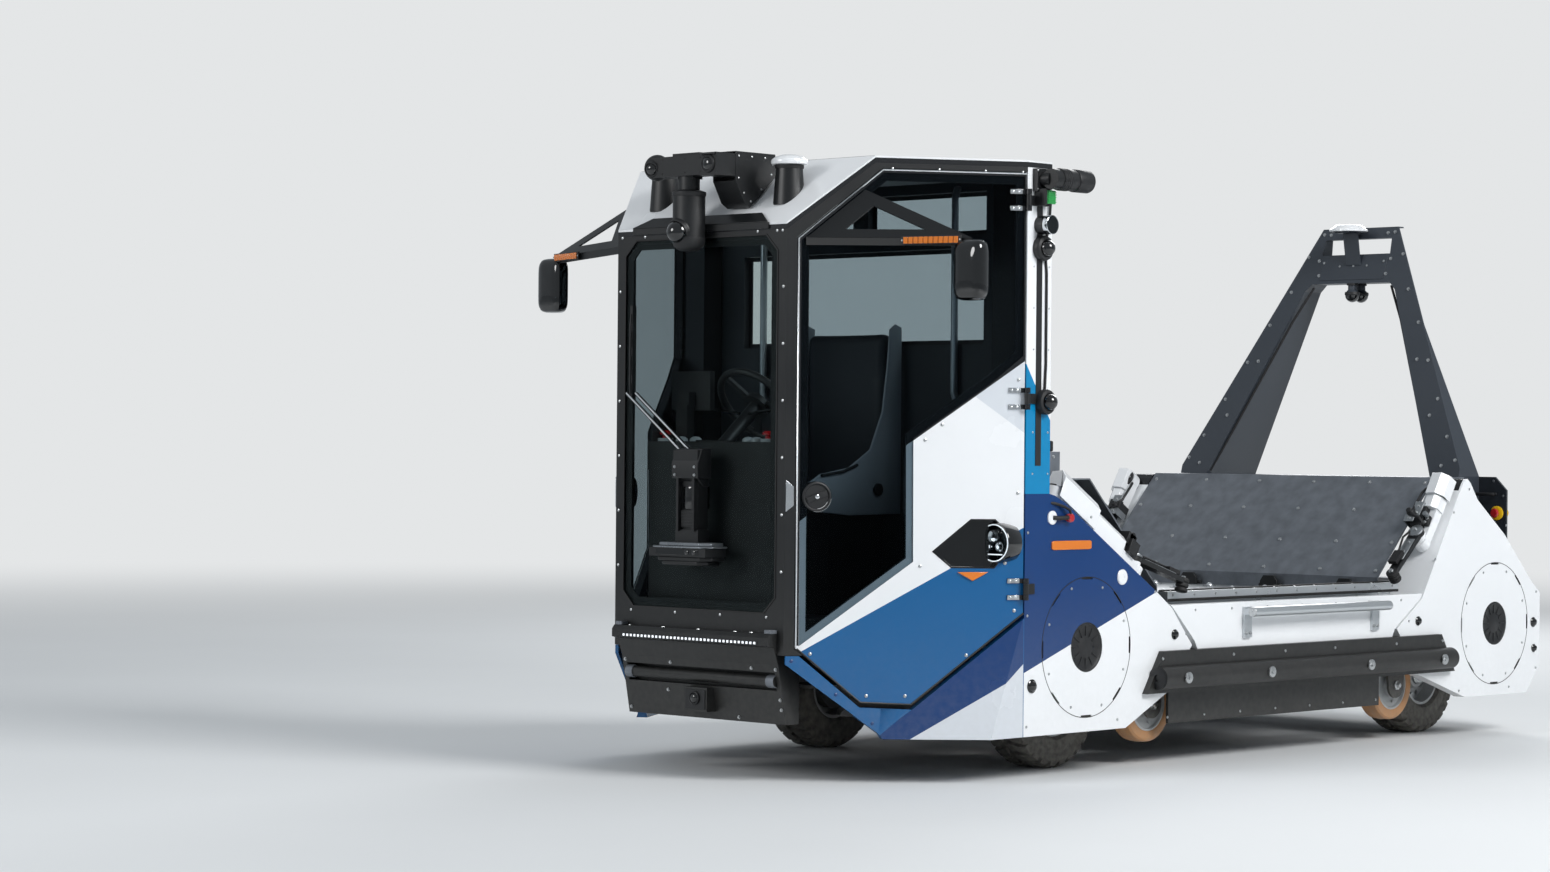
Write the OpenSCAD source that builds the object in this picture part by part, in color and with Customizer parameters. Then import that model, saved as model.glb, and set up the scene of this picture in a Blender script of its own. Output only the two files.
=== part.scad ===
// Self-driving airport baggage tug with a central load deck between two moulded ends.
// The cab stands at the front, a portal mast at the back, and all four wheels steer.
// Millimetres. X runs forward, Y to the vehicle's left, Z up. The ground is Z = 0.
// Places along X are reckoned from the middle of the wheelbase, and placed() moves
// them to the origin, which lies on the ground below the middle of the whole vehicle.

/* [Body] */
// Width over the side panels
body_w = 1878; // [1840:2:1920]
// Middle of the wheelbase to the flat front of the cab
cab_front_x = 2582; // [2560:1:2620]
// Middle of the wheelbase to the rear edge of the doors
door_rear_x = 1797; // [1780:1:1810]
// Middle of the wheelbase to the back wall of the cab
cab_rear_x = 1655; // [1645:1:1665]
// Middle of the wheelbase to the tail panel
tail_x = 1800; // [1790:1:1840]
// Thickness of the moulded side panels
pod_skin = 54; // [48:1:60]
// Depth of the moulded tops of the side panels
pod_depth = 170; // [160:1:175]

/* [Cab] */
// Width of the flat front face
cab_front_w = 898; // [860:2:940]
// Height of the flat roof
cab_top_z = 2320; // [2280:5:2380]
// Height of the top edge of the front face
cab_brow_z = 2068; // [2040:2:2100]
// Length of the sloping part of the roof
roof_slope_l = 284; // [260:2:320]
// Thickness of the roof skin, measured upright
roof_t = 26; // [18:1:34]
// Thickness of the cab frame and doors
frame_t = 40; // [34:1:46]
// Thickness of the glass panes
glass_t = 6; // [4:0.5:8]
// Lap of a pane on its frame
glass_lap = 26; // [18:1:32]
// Clearance between a door and its frame
door_gap = 5; // [4:0.5:8]
// Height of the cab floor
floor_z = 600; // [585:1:620]
// Height of the entry steps
step_z = 365; // [350:1:380]
// Depth of the entry steps
step_w = 190; // [160:5:210]

/* [Battery] */
// Length of the battery box
battery_l = 1100; // [900:10:1120]
// Width of the battery box
battery_w = 1120; // [900:10:1140]
// Height of the battery box's underside
battery_z = 200; // [180:5:240]

/* [Wheels] */
// Distance between the axles
wheelbase = 2558; // [2500:2:2620]
// Distance between the middles of the tyres
track = 1168; // [1150:2:1180]
// Outer diameter of a tyre
tyre_d = 500; // [480:2:510]
// Width of a tyre
tyre_w = 180; // [150:2:186]
// Diameter of the rim under the tyre
rim_d = 254; // [230:2:270]
// Distance between the steering pivots of an axle
kingpin_track = 880; // [870:1:890]
// Diameter of a steering pivot
kingpin_d = 30; // [26:1:34]
// Diameter of a wheel spindle
spindle_d = 40; // [34:1:46]
// Running clearance of a pin in its bore
pin_gap = 0.3; // [0.2:0.05:0.5]

/* [Castors] */
// Distance between the front and rear outrigger wheels
castor_gap_x = 1704; // [1680:2:1730]
// Side of the body to the middle of an outrigger wheel
castor_inset = 189; // [174:1:204]
// Diameter of an outrigger wheel
castor_d = 300; // [280:2:310]
// Width of an outrigger wheel
castor_w = 90; // [70:1:96]
// Height of an outrigger wheel above the ground
castor_lift = 86; // [75:1:100]

/* [Hatches] */
// Distance between the front and rear hatches of a side
hatch_gap_x = 2852; // [2840:2:2864]
// Height of the hatch centres
hatch_z = 490; // [480:1:500]
// Diameter of a hatch cover
hatch_d = 534; // [520:2:540]
// Thickness of a hatch cover
hatch_t = 14; // [10:1:18]
// Diameter of the round recess in a cover
hub_hole_d = 190; // [170:2:210]

/* [Deck] */
// Height of the deck face
deck_z = 640; // [630:1:650]
// Thickness of the deck plate
deck_t = 30; // [20:1:40]
// Deck length ahead of the middle of the wheelbase
deck_front = 770; // [760:2:775]
// Deck length behind the middle of the wheelbase
deck_rear = 770; // [760:2:775]
// Thickness of the folded sheet of the cradles
sheet_t = 6; // [4:1:8]
// Height of the top of the cradles
cradle_top_z = 1130; // [1115:1:1150]
// Diameter of the grab bars
grab_d = 40; // [30:1:46]

/* [Bumpers] */
// Diameter of the round rubber fenders
fender_d = 90; // [80:1:96]
// Height of the fender's middle
fender_z = 356; // [350:1:362]
// Thickness of the fender's backing channel
channel_t = 25; // [18:1:30]
// Diameter of the tube across the nose
nose_tube_d = 42; // [34:1:46]

/* [Arms] */
// Length of a front loading arm from shoulder to elbow
front_upper_l = 560; // [540:5:575]
// Length of a front forearm
front_fore_l = 330; // [310:5:340]
// Length of a rear loading arm from shoulder to elbow
rear_upper_l = 280; // [265:5:290]
// Length of a rear forearm
rear_fore_l = 250; // [240:5:260]
// Thickness of an arm
arm_t = 46; // [36:1:50]
// Diameter of the arm pivot pins
arm_pin_d = 24; // [18:1:28]

/* [Mast] */
// Height of the mast top
mast_z = 2280; // [2230:5:2330]
// Depth of the mast at its top, along the vehicle
mast_depth = 42; // [36:1:60]
// Lean of the mast's front plate, in degrees
mast_lean = 17; // [14:0.5:19]
// Width of a mast leg at the height of the cradles
mast_leg_w = 149; // [120:1:160]

/* [Tow jaw] */
// Diameter of the bore for the tow pin
tow_bore_d = 32; // [26:1:38]
// Clear height between the jaw plates
tow_gap = 64; // [56:2:72]
// Thickness of a jaw plate
tow_plate_t = 18; // [14:1:22]
// Height of the middle of the jaw
tow_z = 380; // [360:2:400]
// Tail panel to the end of the jaw
tow_reach = 95; // [90:1:110]

/* [Hidden] */
$fn = 48;

// Clearance between neighbouring pieces that only stand close
fit_gap = 0.3;
half_w = body_w / 2;
sensor_reach = 123;
nose_x = cab_front_x + sensor_reach;
mid_x = (tail_x + tow_reach - nose_x) / 2;
door_yaw = atan2(half_w - cab_front_w / 2, cab_front_x - door_rear_x);
door_l = norm([half_w - cab_front_w / 2, cab_front_x - door_rear_x]);
roof_angle = atan2(cab_top_z - cab_brow_z, roof_slope_l);
kingpin_y = kingpin_track / 2;
wheel_z = tyre_d / 2;
castor_y = half_w - castor_inset;
castor_z = castor_lift + castor_d / 2;
castor_pin_d = 20;
rail_z = 400;
rail_h = 120;
rail_y = 295;
rail_w = 70;
outrigger_h = 90;
well_z = tyre_d + 60;
bumper_depth = 120;
tail_t = 50;
plate_t = 12;
shelf_z = 661;
flange_x = 1440;
deck_edge = half_w - pod_depth - 2;
channel_y = half_w + 0.5;
channel_top = 458;
screen_w = cab_front_w - 118;
grab_reach = 56;

// Outline of the cab seen from above, anticlockwise
cab_plan = [
    [cab_rear_x, -half_w], [door_rear_x, -half_w], [cab_front_x, -cab_front_w / 2],
    [cab_front_x, cab_front_w / 2], [door_rear_x, half_w], [cab_rear_x, half_w]
];

// The same outline carried on rearward, for insets deeper than its short sides
long_plan = [for (p = cab_plan) [p[0] == cab_rear_x ? 0 : p[0], p[1]]];

// Door outline and pane outline: distance back along the door plane, and height
door_outline = [
    [61, 495], [293, 303], [489, 293], [door_l - 3, 629],
    [door_l - 3, cab_top_z - 50], [364, cab_top_z - 50], [45, cab_brow_z - 58], [45, 505]
];
pane_outline = [
    [58, 512], [492, 822], [489, 1279], [792, 1489], [door_l - 12, 1589],
    [door_l - 12, cab_top_z - 62], [368, cab_top_z - 62], [57, cab_brow_z - 64]
];
lamp_outline = [[570, 860], [640, 803], [805, 801], [890, 903], [808, 977], [715, 977]];
handle_at = [122, 1061];
pane_corner = pane_outline[7];
pane_rise = (pane_outline[6] - pane_corner)[1] / (pane_outline[6] - pane_corner)[0];
foot_inset = 13.2 * norm([1, pane_rise]);
mirror_feet = [
    for (s = [90, 298]) [s, pane_corner[1] + (s - pane_corner[0]) * pane_rise - foot_inset]
];
foot_d = 18;

// Seat: the front of its backrest
seat_x = cab_rear_x + 135;

// Arms: their place on the slopes, running gap above them, and the forearm's easier slope
arm_y = half_w - 80;
arm_lift = 14;
fore_tilt = 15;
front_shoulder_x = 1545;
rear_shoulder_x = -1140;
lamp_d = 150;
lamp_x = door_rear_x + 25;
lamp_l = 66;
lamp_y = half_w - 66;
lamp_z = 892;

// Door hinges: heights, and the axis just outside the corner of door and column
hinge_zs = [720, 1430, cab_top_z - 150];
hinge_out = 16;
hinge_d = 22;
hinge_pin_d = 10;
hinge_h = 40;

hinge_x = door_rear_x + hinge_out * sin(door_yaw);
hinge_y = half_w + hinge_out * cos(door_yaw);

// Windscreen and rear window outlines: across the cab, and height
screen_outline = [
    [-screen_w / 2, 694], [-screen_w / 2 + 50, 644], [screen_w / 2 - 50, 644], [screen_w / 2, 694],
    [screen_w / 2, cab_brow_z - 108], [screen_w / 2 - 50, cab_brow_z - 58],
    [-screen_w / 2 + 50, cab_brow_z - 58], [-screen_w / 2, cab_brow_z - 108]
];
window_y = deck_edge - 117;
window_z = cab_top_z - 95;
rear_windows = [
    [
        [-window_y + 10, window_z - 585], [window_y - 10, window_z - 585],
        [window_y - 10, window_z - 215], [-window_y + 10, window_z - 215]
    ],
    [[40, window_z - 165], [window_y, window_z - 165], [window_y, window_z], [40, window_z]],
    [[-window_y, window_z - 165], [-40, window_z - 165], [-40, window_z], [-window_y, window_z]]
];
pane_rim = 14;

// Moulded ends seen from the side, anticlockwise
front_pod = [
    [door_rear_x, 168], [door_rear_x, cab_top_z - roof_t - 0.5], [cab_rear_x, cab_top_z - roof_t - 0.5],
    [cab_rear_x, 1075], [1625, 1068], [1594, 1055], [1560, 1040], [1006, 697], [897, 624],
    [766, 474], [925, 294], [1184, 170]
];
rear_pod = [
    [-835, 287], [-665, 490], [-853, 612], [-1163, 1105], [-1180, 1122], [-1200, 1125],
    [-1225, 1108], [-1284, 1033], [-1505, 877], [-1705, 687], [-tail_x + 3, 615], [-tail_x + 3, 295],
    [-1692, 174], [-1192, 176]
];
front_slope = atan2(1040 - 697, 1560 - 1006);
rear_slope = atan2(1105 - 612, 1163 - 853);

// Outward normal of the edge from a to b of an anticlockwise outline
function edge_out(a, b) = let (v = b - a) [v[1], -v[0]] / norm(v);

// The outline moved outward by d, with sharp corners
function grown(pts, d) = [
    for (i = [0 : len(pts) - 1])
        let (
            n = len(pts),
            before = edge_out(pts[(i + n - 1) % n], pts[i]),
            after = edge_out(pts[i], pts[(i + 1) % n])
        )
        pts[i] + d * (before + after) / (1 + before * after)
];

// Outline of the cab seen from the side with its top lowered and its wall inset
function cab_profile(inset, drop) = let (
    lower = drop + inset,
    slope_lower = drop + inset / cos(roof_angle)
) [
    [cab_rear_x - 1, 0],
    [cab_front_x - inset, 0],
    [cab_front_x - inset, cab_brow_z + inset * tan(roof_angle) - slope_lower],
    [cab_front_x - (cab_top_z - lower - cab_brow_z + slope_lower) / tan(roof_angle),
        cab_top_z - lower],
    [cab_rear_x - 1, cab_top_z - lower]
];

module placed() translate([mid_x, 0, 0]) children();

module both_sides() {
    children();
    mirror([0, 1, 0]) children();
}

// Side 1 is the left of the vehicle and side -1 its right
module on_side(side) mirror([0, side < 0 ? 1 : 0, 0]) children();

// Extrudes an outline of X and Z across the vehicle from y0 to y1
module side_plate(pts, y0, y1)
    translate([0, y1, 0]) rotate([90, 0, 0]) linear_extrude(y1 - y0) polygon(pts);

// Extrudes an outline of Y and Z along the vehicle from x0 to x1
module cross_plate(pts, x0, x1)
    translate([x0, 0, 0]) rotate([90, 0, 90]) linear_extrude(x1 - x0) polygon(pts);

// A box from its low corner to its high corner
module span(low, high) translate(low) cube(high - low);

// A cylinder along Y or X from its start point
module rod_y(at, d, l) translate(at) rotate([-90, 0, 0]) cylinder(d = d, h = l);
module rod_x(at, d, l) translate(at) rotate([0, 90, 0]) cylinder(d = d, h = l);

// Children drawn about the left door's hinge axis
module hinge_axis() translate([hinge_x, hinge_y, 0]) children();

// Children drawn in the left door's plane: back along the door, up, and outward
module door_plane()
    translate([cab_front_x, cab_front_w / 2, 0])
        rotate([0, 0, 180 - door_yaw]) rotate([90, 0, 0]) children();

// Extrudes an outline in the door plane from depth a to depth b, outward positive
module door_plate(pts, a, b)
    door_plane() translate([0, 0, a]) linear_extrude(b - a) polygon(pts);

// The cab as a solid, its walls moved in and its top lowered
module cab_solid(inset, drop)
    intersection() {
        linear_extrude(cab_top_z + 10) polygon(grown(cab_plan, -inset));
        side_plate(cab_profile(inset, drop), -half_w - 1, half_w + 1);
    }

module chassis_frame() color("#26282b") placed() {
    front_end = cab_front_x - bumper_depth - fit_gap;
    rear_end = -tail_x + tail_t + fit_gap;
    cross_xs = [-1600, -castor_gap_x / 2, 0, castor_gap_x / 2, 1560, front_end - 40];
    union() {
        both_sides() {
            span([rear_end, rail_y - rail_w / 2, rail_z], [front_end, rail_y + rail_w / 2, rail_z + rail_h]);
            for (x = [-castor_gap_x / 2, 0, castor_gap_x / 2])
                span([x - 60, rail_y, rail_z], [x + 60, castor_y + 80, rail_z + outrigger_h]);
        }
        for (x = cross_xs)
            span([x - 40, -rail_y, rail_z + 10], [x + 40, rail_y, rail_z + rail_h - 10]);
    }
}

module axle_beams() color("#303236") placed() {
    lug_r = 38;
    lug_t = 30;
    yoke_h = 220;
    for (x = [-wheelbase / 2, wheelbase / 2])
        translate([x, 0, wheel_z])
            difference() {
                union() {
                    span([-45, -kingpin_y + 75, -45], [45, kingpin_y - 75, 45]);
                    both_sides() {
                        span([-35, kingpin_y - 85, -yoke_h / 2], [35, kingpin_y - 42, yoke_h / 2]);
                        span([-60, rail_y - 30, 40], [60, rail_y + 30, rail_z - wheel_z]);
                        for (z = [-yoke_h / 2, yoke_h / 2 - lug_t]) {
                            translate([0, kingpin_y, z]) cylinder(r = lug_r, h = lug_t);
                            span([-35, kingpin_y - 60, z], [35, kingpin_y, z + lug_t]);
                        }
                    }
                }
                both_sides()
                    translate([0, kingpin_y, -yoke_h])
                        cylinder(d = kingpin_d + 2 * pin_gap, h = 2 * yoke_h);
            }
}

module battery_pack() color("#4a4d52") placed()
    span([-battery_l / 2, -battery_w / 2, battery_z], [battery_l / 2, battery_w / 2, rail_z - fit_gap]);

module deck() color("#b9bdc1") placed() {
    ball_xs = [-600 : 240 : 600];
    ball_ys = [-600 : 300 : 600];
    union() {
        span([-deck_rear, -deck_edge, deck_z - deck_t], [deck_front, deck_edge, deck_z]);
        for (x = [-600, 0, 600])
            span([x - 30, -deck_edge, rail_z + rail_h], [x + 30, deck_edge, deck_z - deck_t + 1]);
        for (x = ball_xs, y = ball_ys)
            translate([x, y, deck_z]) {
                cylinder(d = 60, h = 4);
                translate([0, 0, 2]) sphere(d = 30, $fn = 24);
            }
    }
}

module deck_rails() color("#c9ccd0") placed()
    both_sides() {
        inner_y = deck_edge + fit_gap;
        union() {
            span([-840, inner_y, deck_z + fit_gap], [780, inner_y + 60, deck_z + 40]);
            span([-840, inner_y, deck_z - deck_t], [780, inner_y + 18, deck_z + 1]);
            span([-700, inner_y - 30, deck_z + fit_gap], [700, inner_y + 1, deck_z + 8]);
        }
        union() {
            rod_x([-520, half_w + grab_reach, 597], grab_d, 960);
            for (x = [-490, 410]) {
                span([x - 25, half_w + fit_gap, 492], [x + 25, half_w + 12, 615]);
                span([x - 25, half_w + fit_gap, 585], [x + 25, half_w + grab_reach, 609]);
            }
        }
    }

// Folded sheets run up from the deck over upright ribs, in front to the ledge behind the cab
module cradles() color("#3a3d41") placed() {
    low_x = deck_front + fit_gap;
    low_z = deck_z + 60;
    top_x = low_x + cradle_top_z - low_z;
    rib_x = low_x + sheet_t + fit_gap;
    rib_top = cradle_top_z - sheet_t - fit_gap;
    for (end = [1, -1])
        mirror([end < 0 ? 1 : 0, 0, 0])
            union() {
                side_plate([
                    [low_x, deck_z - deck_t], [low_x + sheet_t, deck_z - deck_t],
                    [low_x + sheet_t, low_z - sheet_t / 2], [top_x + sheet_t / 2, cradle_top_z - sheet_t],
                    [flange_x, cradle_top_z - sheet_t], [flange_x, cradle_top_z],
                    [top_x, cradle_top_z], [low_x, low_z]
                ], -deck_edge, deck_edge);
                for (y = [-rail_y, 0, rail_y])
                    side_plate([
                        [rib_x, rail_z + rail_h], [flange_x - 2, rail_z + rail_h],
                        [flange_x - 2, rib_top], [top_x + sheet_t / 2 + 0.2, rib_top],
                        [rib_x, low_z - sheet_t / 2 - 0.2]
                    ], y - 5, y + 5);
            }
    span([1206, -deck_edge + 147, cradle_top_z + fit_gap],
        [cab_rear_x - 10, deck_edge - 147, cradle_top_z + 102]);
}

// Moulded end panel: a deep top over a thin skin, with a round hatch opening
module pod(outline, wheel_x, hatch_x) {
    top_y = half_w - pod_depth;
    difference() {
        side_plate(outline, top_y, half_w);
        span([min(wheel_x, 0) - 330, top_y - 1, 0], [max(wheel_x, 0) + 330, half_w - pod_skin, well_z]);
        rod_y([hatch_x, top_y - 1, hatch_z], hatch_d - 40, pod_depth + 2);
        rod_y([hatch_x, half_w - hatch_t - fit_gap, hatch_z], hatch_d, pod_depth);
    }
}

module front_pods() color("#f1f2f2") placed()
    both_sides() pod(front_pod, wheelbase / 2, hatch_gap_x / 2);

module rear_pods() color("#f1f2f2") placed()
    both_sides() pod(rear_pod, -wheelbase / 2, -hatch_gap_x / 2);

// Hatch covers have notches round the rim and a round recess for the hub disc
module hatch_covers() color("#eceded") placed()
    both_sides()
        for (x = [-hatch_gap_x / 2, hatch_gap_x / 2])
            translate([x, half_w - hatch_t, hatch_z])
                difference() {
                    rod_y([0, 0, 0], hatch_d - 1, hatch_t);
                    rod_y([0, hatch_t - 8, 0], hub_hole_d, 20);
                    for (a = [0 : 45 : 315])
                        rotate([0, a, 0])
                            span([-32, -1, hatch_d / 2 - 9], [32, hatch_t + 1, hatch_d / 2 + 9]);
                }

module side_sills() color("#eeefef") placed()
    both_sides()
        side_plate([
            [-630, channel_top + fit_gap], [730, channel_top + fit_gap], [750, 492], [890, 625],
            [905, deck_z - 5], [-855, deck_z - 5], [-840, 612], [-650, 492]
        ], half_w - 40, half_w);

module side_bumpers() color("#17181a") placed()
    both_sides()
        union() {
            side_plate([[-1074, 296], [1083, 296], [978, channel_top], [-971, channel_top]],
                channel_y, channel_y + channel_t);
            span([-640, castor_y + 80 + fit_gap, 300], [740, channel_y + 1, channel_top]);
            span([-620, half_w - 70, 166], [840, half_w - 58, 301]);
        }

// Round rubber fender with a flat back against its channel
module fenders() color("#101112") placed()
    both_sides()
        difference() {
            union() {
                rod_x([-1020, channel_y + channel_t + 12, fender_z], fender_d, 2050);
                for (x = [-900, -350, 350, 900])
                    rod_y([x, channel_y + channel_t, fender_z], 30, fender_d / 2 + 18);
            }
            span([-1100, half_w - 60, 200], [1100, channel_y + channel_t + 0.3, 500]);
        }

module castor_housings() color("#3b3e42") placed()
    both_sides()
        for (x = [-castor_gap_x / 2, castor_gap_x / 2])
            translate([x, castor_y, 0])
                difference() {
                    union() {
                        for (y = [-castor_w / 2 - 18, castor_w / 2 + 6]) {
                            rod_y([0, y, castor_z], 110, 12);
                            side_plate([
                                [-55, castor_z], [55, castor_z], [75, rail_z - fit_gap], [-75, rail_z - fit_gap]
                            ], y, y + 12);
                        }
                        span([-75, -castor_w / 2 - 18, rail_z - 8],
                            [75, castor_w / 2 + 18, rail_z - fit_gap]);
                    }
                    rod_y([0, -castor_w, castor_z], castor_pin_d + 2 * pin_gap, 2 * castor_w);
                }

module castor(end, side) color("#c8773a") placed()
    on_side(side)
        translate([end * castor_gap_x / 2, castor_y, castor_z])
            union() {
                difference() {
                    rod_y([0, -castor_w / 2, 0], castor_d, castor_w);
                    for (y = [-castor_w / 2 - 1, castor_w / 2 - 11])
                        difference() {
                            rod_y([0, y, 0], castor_d - 60, 12);
                            rod_y([0, y - 1, 0], 70, 14);
                        }
                }
                rod_y([0, -castor_w / 2 - 17, 0], castor_pin_d, castor_w + 34);
            }

// Raised floor on the chassis rails, with a step inside each door and the seat's pedestal
module cab_floor() color("#2a2c2f") placed() {
    wall = frame_t + 8;
    low_z = rail_z + rail_h + fit_gap;
    front = cab_front_x - wall;
    rear = cab_rear_x + frame_t + 2;
    union() {
        span([rear, -260, low_z], [front, 260, floor_z]);
        intersection() {
            span([rear, -half_w, low_z], [front, half_w, floor_z]);
            linear_extrude(floor_z) polygon(grown(long_plan, -wall - step_w));
        }
        difference() {
            intersection() {
                span([door_rear_x + 10, -half_w, step_z - 12],
                    [cab_front_x - bumper_depth - 4, half_w, floor_z]);
                linear_extrude(floor_z) polygon(grown(long_plan, -wall));
            }
            translate([0, 0, step_z]) linear_extrude(floor_z) difference() {
                polygon(long_plan);
                polygon(grown(long_plan, -wall - step_w));
            }
            linear_extrude(low_z + 1) polygon(grown(long_plan, -wall - step_w - 12));
            span([1000, -rail_y - rail_w / 2 - 3, 0], [3000, rail_y + rail_w / 2 + 3, low_z]);
        }
        span([seat_x - 25, -190, floor_z - 1], [seat_x + 280, 190, floor_z + 400]);
    }
}

// Skirt below each door, with the folded lower corner that reaches out to the side
module cab_skirts() color("#2a6f93") placed()
    both_sides() {
        fold_s = 366;
        corner = [
            cab_front_x - fold_s * cos(door_yaw), cab_front_w / 2 + fold_s * sin(door_yaw), 187
        ];
        plane_yaw = 77 - door_yaw;
        plane_tilt = 16;
        difference() {
            union() {
                door_plate([
                    [8, 445], [fold_s, corner[2]], [door_l, corner[2]], [door_l, 612],
                    [492, 275], [291, 285], [58, 476], [8, 476]
                ], -frame_t, 0);
                door_plate([
                    [fold_s, corner[2]], [fold_s + 14, 168], [door_l, 168], [door_l, 612], [492, 275]
                ], -frame_t + 5, 130);
            }
            translate(corner) rotate([0, 0, plane_yaw]) rotate([0, -plane_tilt, 0])
                translate([0, -1000, -1000]) cube(2000);
            span([door_rear_x - 100, half_w, 0], [cab_front_x + 100, half_w + 300, 700]);
            span([door_rear_x - 200, 0, 0], [door_rear_x + fit_gap, half_w + 1, 700]);
        }
    }

// Front and door frames, with a rebate for the windscreen
module cab_frame() color("#1b1c1e") placed() {
    low_z = 478;
    difference() {
        cab_solid(0, roof_t + fit_gap);
        cab_solid(frame_t, roof_t + fit_gap);
        cross_plate(screen_outline, cab_front_x - 100, cab_front_x + 1);
        cross_plate(grown(screen_outline, pane_rim + 1), cab_front_x - glass_t - fit_gap, cab_front_x + 1);
        both_sides() door_plate(grown(door_outline, door_gap), -frame_t - 30, 1);
        span([0, -half_w - 1, -1], [door_rear_x + fit_gap, half_w + 1, cab_top_z]);
        span([0, -half_w - 1, -1], [cab_front_x + 1, half_w + 1, low_z]);
        span([0, -half_w - 1, 0], [cab_front_x - frame_t - 20, half_w + 1, 640]);
    }
}

module roof() color("#f4f5f5") placed()
    intersection() {
        linear_extrude(cab_top_z + 10) polygon(cab_plan);
        difference() {
            side_plate(cab_profile(0, 0), -half_w - 1, half_w + 1);
            side_plate(cab_profile(0, roof_t), -half_w - 2, half_w + 2);
        }
    }

module cab_glass() color("#3b4650") placed() {
    cross_plate(grown(screen_outline, pane_rim), cab_front_x - glass_t, cab_front_x);
    for (w = rear_windows)
        cross_plate(grown(w, pane_rim), cab_rear_x, cab_rear_x + glass_t);
}

module cab_rear_wall() color("#e9eaea") placed() {
    difference() {
        span([cab_rear_x, -deck_edge, rail_z + rail_h + fit_gap],
            [cab_rear_x + frame_t, deck_edge, cab_top_z - roof_t - fit_gap]);
        for (w = rear_windows) {
            cross_plate(w, cab_rear_x - 1, cab_rear_x + frame_t + 1);
            cross_plate(grown(w, pane_rim + 1), cab_rear_x - 1, cab_rear_x + glass_t + fit_gap);
        }
    }
}

// Nose bumper: lip over a raked face, with a tube in a recess across it
module front_bumper() color("#141516") placed() {
    lip_x = cab_front_x + 47;
    half_top = 416;
    difference() {
        union() {
            side_plate([
                [cab_front_x - bumper_depth, 219], [cab_front_x - 50, 219], [cab_front_x - 8, 440],
                [cab_front_x + 18, 505], [lip_x, 512], [lip_x, 542], [lip_x - 12, 557],
                [cab_front_x + fit_gap, 557], [cab_front_x + fit_gap, 477.5], [cab_front_x - bumper_depth, 477.5]
            ], -half_top, half_top);
        }
        side_plate([
            [cab_front_x - 60, 345], [cab_front_x + 60, 345], [cab_front_x + 60, 412], [cab_front_x - 60, 412]
        ], -half_top + 22, half_top - 22);
        both_sides()
            translate([cab_front_x, half_top, 512]) rotate([6, 0, 0])
                translate([-200, 0, -400]) cube([300, 100, 400]);
    }
    rod_y([cab_front_x - 25, -half_top + 22, 379], nose_tube_d, 2 * half_top - 44);
    span([cab_front_x - 49.7, -60, 248], [cab_front_x + 6, 60, 338]);
}

// Scanner box with its tray and the wiper on the windscreen
module front_scanner() color("#1a1b1d") placed()
    translate([cab_front_x + fit_gap, 0, 0])
        union() {
            span([0, -65, 1134], [70, 65, 1228]);
            span([0, -50, 925], [50, 50, 1140]);
            span([0, -150, 830], [110, 150, 862]);
            span([0, -60, 850], [60, 60, 930]);
            for (y = [-48, 36])
                span([40, y, 925], [70, y + 12, 1140]);
            for (y = [10, -40])
                hull() {
                    translate([20, y, 1200]) sphere(r = 7, $fn = 16);
                    translate([20, y - 330, 1440]) sphere(r = 7, $fn = 16);
                }
            span([6, -352, 1415], [26, -338, 1776]);
        }

// Camera bar and cylinder over the brow, and a low tower on each side of the roof slope
module roof_sensors() color("#1c1d1f") placed() {
    stem_x = nose_x - 61;
    top = cab_top_z + fit_gap;
    bracket_x = cab_front_x - 382;
    union() {
        translate([stem_x, 0, cab_top_z - 310]) cylinder(d = 122, h = 180);
        translate([stem_x, 0, cab_top_z - 140]) cylinder(d = 80, h = 85);
        span([stem_x - 40, -165, cab_top_z - 70], [stem_x + 45, 175, cab_top_z + 5]);
        translate([stem_x + 6, -165, cab_top_z - 30]) sphere(d = 100, $fn = 32);
        span([stem_x - 50, 120, cab_top_z - 75], [stem_x + 60, 200, cab_top_z + 10]);
        translate([stem_x + 16, -30, cab_top_z - 275]) sphere(d = 90, $fn = 32);
        span([bracket_x, -70, top + 5], [stem_x + 20, 70, top + 17]);
        span([bracket_x, -70, top], [bracket_x + 80, 70, top + 17]);
        span([stem_x - 30, -40, cab_top_z - 80], [stem_x + 20, 40, top + 12]);
    }
    both_sides()
        difference() {
            translate([cab_front_x - 134, 330, cab_top_z - 180]) cylinder(d1 = 120, d2 = 100, h = 150);
            side_plate(cab_profile(0, -fit_gap), -half_w - 1, half_w + 1);
        }
}

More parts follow.
